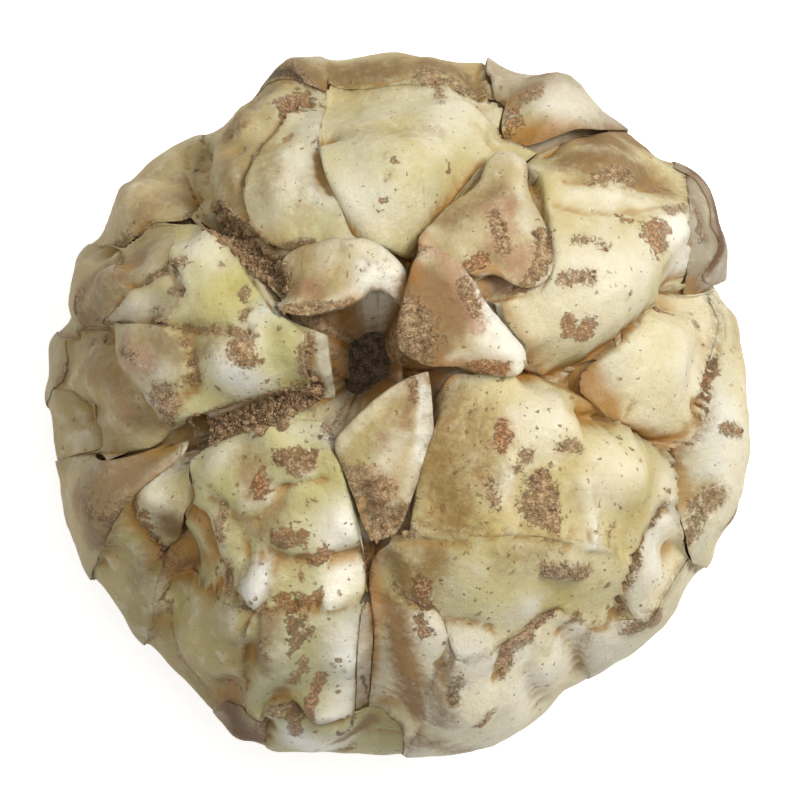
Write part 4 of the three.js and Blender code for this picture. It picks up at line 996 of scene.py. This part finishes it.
# Dark lines of dirt and painted shade in the cracks and slits.
mark(
    "dark",
    (0.9, 0.9, (-46, 14.5), (-46.5, 13)), (0.6, 1.2, (-39.3, 22.6), (-37.8, 23.3), (-36.8, 23.6)),
    (0.3, 1.0, (-37.8, 25.4), (-36, 25.5)), (0.35, 1.0, (-31.5, 32.5), (-31.3, 30), (-31.4, 28)),
    (0.6, 0.9, (-48.3, 5), (-48.6, 1.5)), (0.5, 1.0, (-22.8, 24), (-21.3, 22), (-19.3, 18)),
)
mark("rust", (2, 0.5, (-44, -13), (-41, -17)))
spots(
    "soil", 0.45, 0.9,
    (-25.4, 2.3), (-18.7, 6), (-19.3, 9.6), (-16.3, 10.2), (-16.2, 8.5), (-24.8, 19), (-38.4, 28.9),
)
spots(
    "soil", 0.45, 0.8,
    (-34, 28.5), (-29.3, 19.4), (-17.6, 11.4), (-26.7, 4), (-42.5, 2.2), (-36, -0.4), (-41.3, -4.2),
)

# ------------------------------------------------------------ free scales round the pit
# Old torn scales that stand free of the noses: a thick white band over the pit, two three-cornered
# ones east of it and a wedge in front, all with thin bright edges where they were broken.
torn_flesh = flesh("torn_flesh", (206, 190, 150), (186, 166, 116), (152, 120, 78), 1.1)
lay("north_scale_7", 3, torn_flesh, 0.88)
lay("northeast_scale_5", 3, torn_flesh, 0.97)
lay("northeast_scale_6", 3, torn_flesh, 0.97)
lay("southeast_scale_7", 3, torn_flesh, 0.97)
# Painted highlights on the torn scales, with some whiter flesh.
mark(
    "pale",
    (2.6, 1.2, (-4.5, 18.5), (-1.5, 18.5), (0.3, 17)), (2, 0.5, (-10, 20)),
    (1.6, 0.6, (17.5, 30), (18.3, 25)), (2.4, 1.1, (13, 9), (15.5, 7), (10.5, 16.5)),
    (2.0, 0.6, (-1.5, -7), (-1, -5), (-2.5, -8.5)), (1.3, 0.9, (3.6, 3.5), (3.2, -1), (2, -7)),
    (1.2, 0.9, (-10.3, -3.8)),
)
mark(
    "tan",
    (3, 0.6, (-16, 17), (-12, 16)), (3, 0.6, (8, 27), (13, 31), (16, 28)),
    (3, 0.6, (13, 21), (16, 19)), (4.6, 1.6, (3, 9), (3, 15), (6, 13)),
    (2.5, 0.5, (1, 2), (-1, -2), (-3, -6)), (1.6, 0.7, (1.5, 3), (1.2, 0), (0.2, -3)),
)
mark(
    "pink",
    (2.0, 0.8, (-13.5, 17), (-12, 15.8)), (2.6, 1.0, (12.5, 28), (15, 27), (14.5, 23.5)),
    (2.5, 0.9, (16.5, 21), (19, 21.5), (17.5, 18)), (1.8, 1.0, (4.6, 22), (6.8, 20.8), (8, 18.5)),
    (1.7, 1.0, (9, 16.5), (10.2, 14), (11.3, 11)), (2.4, 0.9, (-4, -10.5), (-2, -12)),
)
mark(
    "soil",
    (1.3, 1.0, (-15.8, 13.6), (-13, 13.4), (-11, 13.2)), (0.8, 0.9, (-10, 13.8), (-6.5, 13.9)),
    (1.3, 0.85, (13, 26.5), (14.3, 24), (15, 22)),
    (1.1, 1.0, (20.3, 24), (20.2, 20.5), (19, 18), (18.3, 16.3)),
    (0.9, 0.9, (8.8, 17), (9.4, 15.5), (10.8, 13)), (2.2, 1.0, (1.5, 13), (1.3, 10), (2, 7.5)),
    (2.0, 0.75, (4, 12), (4, 8), (3, 6.5)), (1.0, 0.7, (6.5, 9.3)),
    (0.8, 0.7, (1.9, 3.2), (1.8, 0.5)),
    (1.7, 1.1, (-3, -12), (-3, -15), (-1.5, -18), (-2.5, -20.3)),
    (1.3, 1.0, (0.5, -15), (1.2, -18.5)), (1.0, 0.8, (-5.4, -9), (-5, -12)),
    (1.0, 0.8, (3.5, -4), (3, -8), (2, -12)), (1.3, 0.9, (-10.3, -3.8)),
)
mark("rust", (0.9, 1.1, (10, 19.5), (12, 20.5), (11.8, 18.8)), (0.8, 0.9, (10.5, 5.5), (15, 5.5)))
# Dark lines of dirt and painted shade in the cracks and slits.
mark("dark", (0.5, 0.8, (10.2, 18.6), (12.3, 18.2)), (0.35, 1.1, (-11.3, -4.8)))
mark(
    "shade",
    (1.6, 0.9, (11, 18), (13, 17.5), (14, 15.5)), (1.4, 0.8, (6, 5.6), (11, 5.6), (15, 5.5)),
    (1.6, 0.9, (2.3, 21), (2, 18)), (1.3, 1.0, (5, 3.5), (7, 3.8)),
    (2.4, 0.9, (-9, 12), (-5, 13.5), (-2, 14.5)),
)
mark("green", (2.2, 0.5, (-4, -2), (-2, 0)), (2.2, 0.5, (-6, -5), (-5, -8)))

# ------------------------------------------------------------ earth in the crevices
# Dry crumbling soil, packed in the two furrows beside the left nose and held there by the scales
# on both sides.
dry_earth = soil_material("dry_earth", (238, 204, 160), (182, 142, 100), 0.0008)
lay("crevice_soil_1", 3, dry_earth)
lay("crevice_soil_2", 3, dry_earth)

# ------------------------------------------------------------ pressing the scales together
# Grown side by side, the scales share one smooth form and only the torn ones stand proud of it.
# Everything along one way from the stem's foot moves as far, so nothing cuts through its cover.
SNUG = 0.9
PROUD = {
    "north_scale_7": 0.0,
    "northeast_scale_5": 0.1,
    "northeast_scale_6": 0.1,
    "southeast_scale_7": 0.1,
    "northeast_scale_4": 0.4,
    "pit_soil": 0.0,
    "west_scale_1": 0.2,
    "southwest_scale_8": 0.4,
    "southwest_scale_3": 0.6,
}
PIT = PLAN_ZERO + (-5, 6.5)
GAP_STEPS, GAP_DEPTH = 9, 1.0
MOST_IN, MOST_OUT = -2.5, 18
PULL = 78


def spread(field, cells, pick=np.maximum):
    """Each cell takes the highest, or the lowest, value found within so many steps."""
    for _ in range(cells):
        for shift in FOUR_WAYS:
            field = pick(field, np.roll(field, shift, (0, 1)))
    return field


def rises(value, start, over):
    """0 up to the start, then rising to 1 over that much more."""
    return np.clip((value - start) / over, 0, 1)


def falls(value, end, over):
    """1 until that much short of the end, then falling to 0 there."""
    return np.clip((end - value) / over, 0, 1)


# The form they share, the bed under each scale, how close each lies, and how its edge is pulled
# over the gap beside it.
closed = spread(spread(top_reach, GAP_STEPS), GAP_STEPS, np.minimum)
form = softened(closed, 8)
bed_reach = softened(spread(top_reach, GAP_STEPS, np.minimum), 2)
gaps = closed - top_reach > GAP_DEPTH
from_pit = np.hypot(cell_top[..., 0] - PIT[0], cell_top[..., 1] - PIT[1])
pull_x, pull_y = np.gradient(softened(gaps * rises(from_pit, 10, 3), 5) * PULL)
snugness = np.full(len(node_names) + 1, SNUG)
for name, share in PROUD.items():
    snugness[node_names.index(name)] = share
snug = softened(snugness[top_owner], 4) * rises(from_pit, 8.5, 4)
pressing = np.clip(snug * (form - top_reach), MOST_IN, MOST_OUT)
# Painted shade along the borders between one scale and the next, for the seam attribute.
seam_shade = np.zeros_like(top_reach)
for shift in ((0, 1), (1, 0)):
    seam_shade = np.maximum(seam_shade, top_owner != np.roll(top_owner, shift, (0, 1)))
seam_shade = np.clip(softened(seam_shade, 1.8) * 4, 0, 1)
upper = rises(cell_height, UPPER_SIDE, 10)

# The deep valleys between the noses.
furrow(
    (3.4, 1.5, (-49, -3), (-42, -8.5), (-33, -7), (-27, -4), (-18, 0), (-12, 1.5)),
    (3.4, 1.5, (-36, 34), (-31, 30), (-27, 27), (-23, 25), (-20, 20.5), (-18.3, 16.5)),
    (3.4, 1.5, (2, 21), (4, 25.5), (7, 30), (11, 35.5), (16, 40), (17, 47)),
    (3.4, 1.5, (20, 4), (25, 4.5), (28, 6), (31.5, 9.5), (35, 13), (39, 15.8), (45, 18)),
    (3.4, 1.5, (20, 4), (25.5, 1.5), (28, -2.8), (33, -4), (37, -5.5), (40.5, -8), (43, -14)),
    (3.4, 1.5, (-2.5, -19), (-3, -26), (-3, -31), (-4, -42), (-4, -49)),
)

# The notches between the rim's scales, and how far the rim stands out every five degrees round,
# starting at the right. The 72 values of RIM_BULGE weren't chosen by hand: a scratch program
# measured and smoothed them, and only the third row was then altered by hand.
NOTCH_WIDTH, NOTCH_DEPTH, NOTCH_START, NOTCH_END = 2.4, 1.0, 43, 49.5
for turn in (168, 153, 122, 116, 103, 76, 41, 20, 331, 305, 295, 269, 249, 239, 223, 208, 190, 181):
    outward = np.array([np.cos(np.radians(turn)), np.sin(np.radians(turn))])
    furrow((NOTCH_WIDTH, NOTCH_DEPTH, outward * NOTCH_START, outward * NOTCH_END))
RIM_BULGE = (
    0.5, 0.4, 0.7, 1.7, 2.0, 2.0, 1.8, 2.3, 2.4, 2.3, 2.5, 2.8, 2.8, 2.6, 1.8, 0.8, 0.4, 0.8,
    0.9, 0.6, 0.5, 0.7, 1.4, 1.8, 1.7, 1.3, 1.0, 0.9, 0.8, 0.8, 0.4, 0.3, 0.5, 0.2, -0.4, -1.0,
    -0.6, -0.3, 0.5, 1.2, 1.4, 0.9, 0.2, -0.3, -0.3, 0.1, 0.7, 1.2, 1.9, 2.6, 2.6, 2.2, 1.6, 0.9,
    0.5, 0.7, 1.5, 2.0, 1.1, -0.3, -1.8, -2.1, -1.5, -0.1, 0.4, -0.2, -0.5, 0.2, 1.1, 1.4, 1.1, 0.9,
)
from_middle = cell_top[..., :2] - PLAN_ZERO
rim_turn = np.degrees(np.arctan2(from_middle[..., 1], from_middle[..., 0])) % 360
rim_band = rises(np.degrees(cell_tilt), 52, 22) * falls(np.degrees(cell_tilt), 125, 25)
lift += rim_band * np.interp(rim_turn, np.arange(0, 361, 5), (*RIM_BULGE, RIM_BULGE[0]))


def lattice_noise(points, size, seed):
    """Smooth random heights from -1 to 1 in space, with lumps of that size."""
    table = np.random.default_rng(seed).uniform(-1, 1, (32, 32, 32))
    at = points / size
    low = np.floor(at).astype(int)
    part = at - low
    part = part * part * (3 - 2 * part)
    total = 0
    for corner in np.ndindex(2, 2, 2):
        weight = np.ones(points.shape[:-1])
        for axis, far in enumerate(corner):
            weight = weight * (part[..., axis] if far else 1 - part[..., axis])
        cell = (low + corner) % 32
        total = total + weight * table[cell[..., 0], cell[..., 1], cell[..., 2]]
    return total


# The unevenness of the flesh, from broad to fine, and the grain of soil and dry skin on it.
MEAN_REACH = 45
ground = cell_way * MEAN_REACH
lift += 0.6 * lattice_noise(ground, 7, 3) + 0.3 * lattice_noise(ground, 3.4, 4)
lift += 0.1 * lattice_noise(ground, 1.4, 5)
pressed = top_reach + pressing + lift * upper
grain = 0.6 + 0.7 * lattice_noise(ground, 0.7, 6)
for kind, rise in (("soil", 0.3), ("tan", 0.05)):
    lift += rise * np.clip(marks[kind], 0, 1) * grain
lift *= upper

# Hollows are where the pressed surface lies under its own average, swellings where it lies over.
# The hollows get painted shade and the swellings a painted highlight.
wide = softened(pressed, 7) - pressed
close = softened(pressed, 2.5) - pressed
hollow_shade = np.clip(np.clip(wide / 1.6, 0, 1) * 0.6 + np.clip(close / 0.35, 0, 1) * 0.7, 0, 1) * upper
# Painted highlight: the swellings made whiter.
marks["pale"] += 0.55 * np.clip(-wide / 1.1 - 0.2, 0, 1) * upper
fields = {**marks, "hollow_shade": hollow_shade, "seam_shade": seam_shade}


def write_marks(mesh, across, along):
    """Puts the marks on a mesh's points, by their places on the chart, for its material."""
    for kind, field in fields.items():
        layer = mesh.attributes.new(kind, "FLOAT", "POINT")
        layer.data.foreach_set("value", read_chart(field, across, along).astype(np.float32))


# Free edges set right in plan: a spot, how far it moves to the right and back, and how wide.
NUDGES = {
    "northeast_scale_5": (
        ((23, 31), (-2.8, 0), 5),
        ((11, 31), (1.5, -0.8), 3.5),
        ((13, 15), (0.5, 3.0), 3.5),
        ((22, 14.5), (-1.5, 0), 3),
    ),
    "north_scale_7": (((-8, 21), (0, 0.8), 4),),
    "southeast_scale_7": (((4.5, -5), (1.3, 0), 6),),
    "southeast_scale_1": (((7, -8), (-1.4, 0), 5.5),),
}
HEAP_SPOT, HEAP_HEIGHT, HEAP_WIDTH = (-4, 6), 5.5, 6
HEAP_EDGE, EDGE_WIDTH, EDGE_DROP = 7.5, 3, 10
for piece in laid:
    node = piece.name.removeprefix("whole_")
    mesh = piece.data
    place = np.empty(len(mesh.vertices) * 3)
    mesh.vertices.foreach_get("co", place)
    place = place.reshape(-1, 3) / MM
    across, along, reach = chart_place(place)
    gap = read_chart(form, across, along)
    gap = gap - np.maximum(read_chart(bed_reach, across, along), reach)
    move = np.clip(read_chart(snug, across, along) * gap, MOST_IN, MOST_OUT)
    move += read_chart(lift, across, along)
    if node.startswith("crevice_soil"):
        move += 0.9 * lattice_noise(place, 2.3, 9) + 0.5 * lattice_noise(place, 0.9, 10) - 1.2
    if node == "pit_soil":
        heap = np.hypot(*(place[:, :2] - PLAN_ZERO - HEAP_SPOT).T)
        move = HEAP_HEIGHT * np.exp(-((heap / HEAP_WIDTH) ** 2))
        move -= EDGE_DROP * rises(heap, HEAP_EDGE, EDGE_WIDTH)
        move += 0.5 * lattice_noise(place, 2.3, 9) + 0.3 * lattice_noise(place, 0.9, 10)
    if node != "basal_plate":
        place = chart_spot(
            across + read_chart(pull_x, across, along),
            along + read_chart(pull_y, across, along),
            reach + move,
        )
    for spot, by, width in NUDGES.get(node, ()):
        share = np.exp(-(((place[:, :2] - PLAN_ZERO - spot) ** 2).sum(axis=1)) / width**2)
        place[:, :2] += np.multiply.outer(share, by)
    mesh.vertices.foreach_set("co", (place * MM).ravel())
    mesh.update()
    write_marks(mesh, across, along)

# The hearts' one mass lies a little under the shared form, and deeper still at the pit, where it
# gets more painted shade.
CORE_DEPTH, PIT_DROP = 1.9, 9
core = softened(spread(closed, 5, np.minimum), 4) + lift - CORE_DEPTH
core -= PIT_DROP * falls(from_pit, 13, 3.5)
heart_reach = read_chart(core, heart_across, heart_along)
heart_points = chart_spot(heart_across, heart_along, heart_reach)
crown_reach = core[CHART_CELLS // 2, CHART_CELLS // 2]
ends = STEM_FOOT + np.array([[0, 0, crown_reach], [0, 0, -heart_reach[-1]]])
heart_points = np.concatenate([heart_points, ends])
heart_mesh.from_pydata((heart_points * MM).tolist(), [], heart_faces)
heart_mesh.polygons.foreach_set("use_smooth", [True] * len(heart_faces))
# Painted shade on the packed mass round the pit.
fields["shade"] = np.maximum(marks["shade"], 0.7 * falls(from_pit, 12.5, 3))
across, along, _ = chart_place(heart_points)
write_marks(heart_mesh, across, along)

# ------------------------------------------------------------ crumbs of soil
# Loose grains and crumbs of dry earth lying where soil was caught: thick in the crevices, thin on
# the scales.
LOWEST_CRUMB, SUNK_IN = 33, 0.15
dice = np.random.default_rng(20)
steps = np.arange(CHART_CELLS)
bent_way = chart_spot(steps[:, None] + pull_x, steps[None, :] + pull_y, np.ones_like(pull_x))
bent_way -= STEM_FOOT
ground_spot = STEM_FOOT + bent_way * (top_reach + pressing + lift)[..., None]
crumb = bmesh.new()
bmesh.ops.create_icosphere(crumb, subdivisions=1, radius=1)
crumb_corners = np.array([v.co for v in crumb.verts])
crumb_faces = np.array([[v.index for v in f.verts] for f in crumb.faces])
crumb.free()


def crumbs(name, chance, small, large):
    """A piece of many loose crumbs, laid by chance over the chart."""
    cell_area = np.sin(cell_tilt) * top_reach**2 / np.maximum(cell_tilt, 1e-6)
    cell_area *= np.radians(1 / CELLS_PER_DEGREE) ** 2
    expected = chance * cell_area * (cell_height > LOWEST_CRUMB)
    picked = np.flatnonzero(dice.random(chance.shape) < expected)
    size = small + (large - small) * dice.random(len(picked)) ** 3
    middle = ground_spot.reshape(-1, 3)[picked]
    middle = middle + cell_way.reshape(-1, 3)[picked] * (SUNK_IN * size)[:, None]
    shape = crumb_corners[None] * dice.uniform(0.6, 1.25, (len(picked), len(crumb_corners), 1))
    shape = shape * dice.uniform(0.6, 1.3, (len(picked), 1, 3)) * size[:, None, None]
    turned = np.linalg.qr(dice.normal(size=(len(picked), 3, 3)))[0]
    points = middle[:, None] + np.einsum("nij,nkj->nki", turned, shape)
    faces = crumb_faces[None] + (np.arange(len(picked)) * len(crumb_corners))[:, None, None]
    mesh = bpy.data.meshes.new(name)
    mesh.from_pydata((points * MM).reshape(-1, 3).tolist(), [], faces.reshape(-1, 3).tolist())
    mesh.materials.append(dry_earth)
    piece = placed(name, mesh)
    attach(piece, "root")


patchy = np.clip(lattice_noise(ground, 1.6, 8) + 0.5, 0, 1)
caught = np.clip(marks["soil"] - 0.35, 0, 1) * patchy
crevices = [node_names.index("crevice_soil_1"), node_names.index("crevice_soil_2")]
beside = softened(softened(np.isin(top_owner, crevices).astype(float), 3), 5)
crumbs("fine_crumbs", caught * 9.5 + beside * 20, 0.1, 0.36)
crumbs("coarse_crumbs", beside * 1.0 + caught * 0.35, 0.25, 0.9)
crumbs("clods", beside * 0.3 + 0.05 * (patchy > 0.7) * (marks["soil"] > 0.6), 0.6, 1.25)

# ------------------------------------------------------------ studio
# A white sheet under the bulb, a big soft lamp high at the right and behind, a second nearly
# overhead, a weak one low at the left, and the camera straight above, far off.
sheet_mesh = bpy.data.meshes.new("sheet")
sheet_mesh.from_pydata([(-3, -3, 0), (3, -3, 0), (3, 3, 0), (-3, 3, 0)], [], [(0, 1, 2, 3)])
sheet = placed("sheet", sheet_mesh)
white, n, shader = plain_material(
    "white_sheet",
    Base_Color=(0.93, 0.93, 0.93, 1),
    Roughness=0.9,
    Emission_Color=(1, 1, 1, 1),
)
seen_straight = n.add("ShaderNodeLightPath").outputs["Is Camera Ray"]
n.join(n.times(seen_straight, 0.62), shader.inputs["Emission Strength"])
sheet_mesh.materials.append(white)

camera = bpy.data.cameras.new("camera")
camera.lens = 468
camera.sensor_width = 36
camera.clip_end = 20
eye = placed("camera", camera)
eye.location = (0.00142, 0.0006, 1.53)
bpy.context.scene.camera = eye

LAMP_COLOR = (1.0, 0.965, 0.91)
for name, spot, size, power in (
    ("key", (0.75, 0.5, 1.0), 0.5, 12),
    ("overhead", (0.12, 0.2, 1.7), 0.7, 7),
    ("fill", (-0.8, -0.3, 0.8), 1.0, 2),
):
    lamp = bpy.data.lights.new(name, "AREA")
    lamp.size, lamp.energy, lamp.color = size, power, LAMP_COLOR
    stand = placed(name, lamp)
    stand.location = spot
    stand.rotation_euler = (-Vector(spot)).to_track_quat("-Z", "Y").to_euler()
world = bpy.data.worlds.new("world")
bpy.context.scene.world = world
world.use_nodes = True
sky = world.node_tree.nodes["Background"].inputs
sky["Color"].default_value = (1, 1, 1, 1)
sky["Strength"].default_value = 0.27
bpy.context.scene.view_settings.view_transform = "Standard"
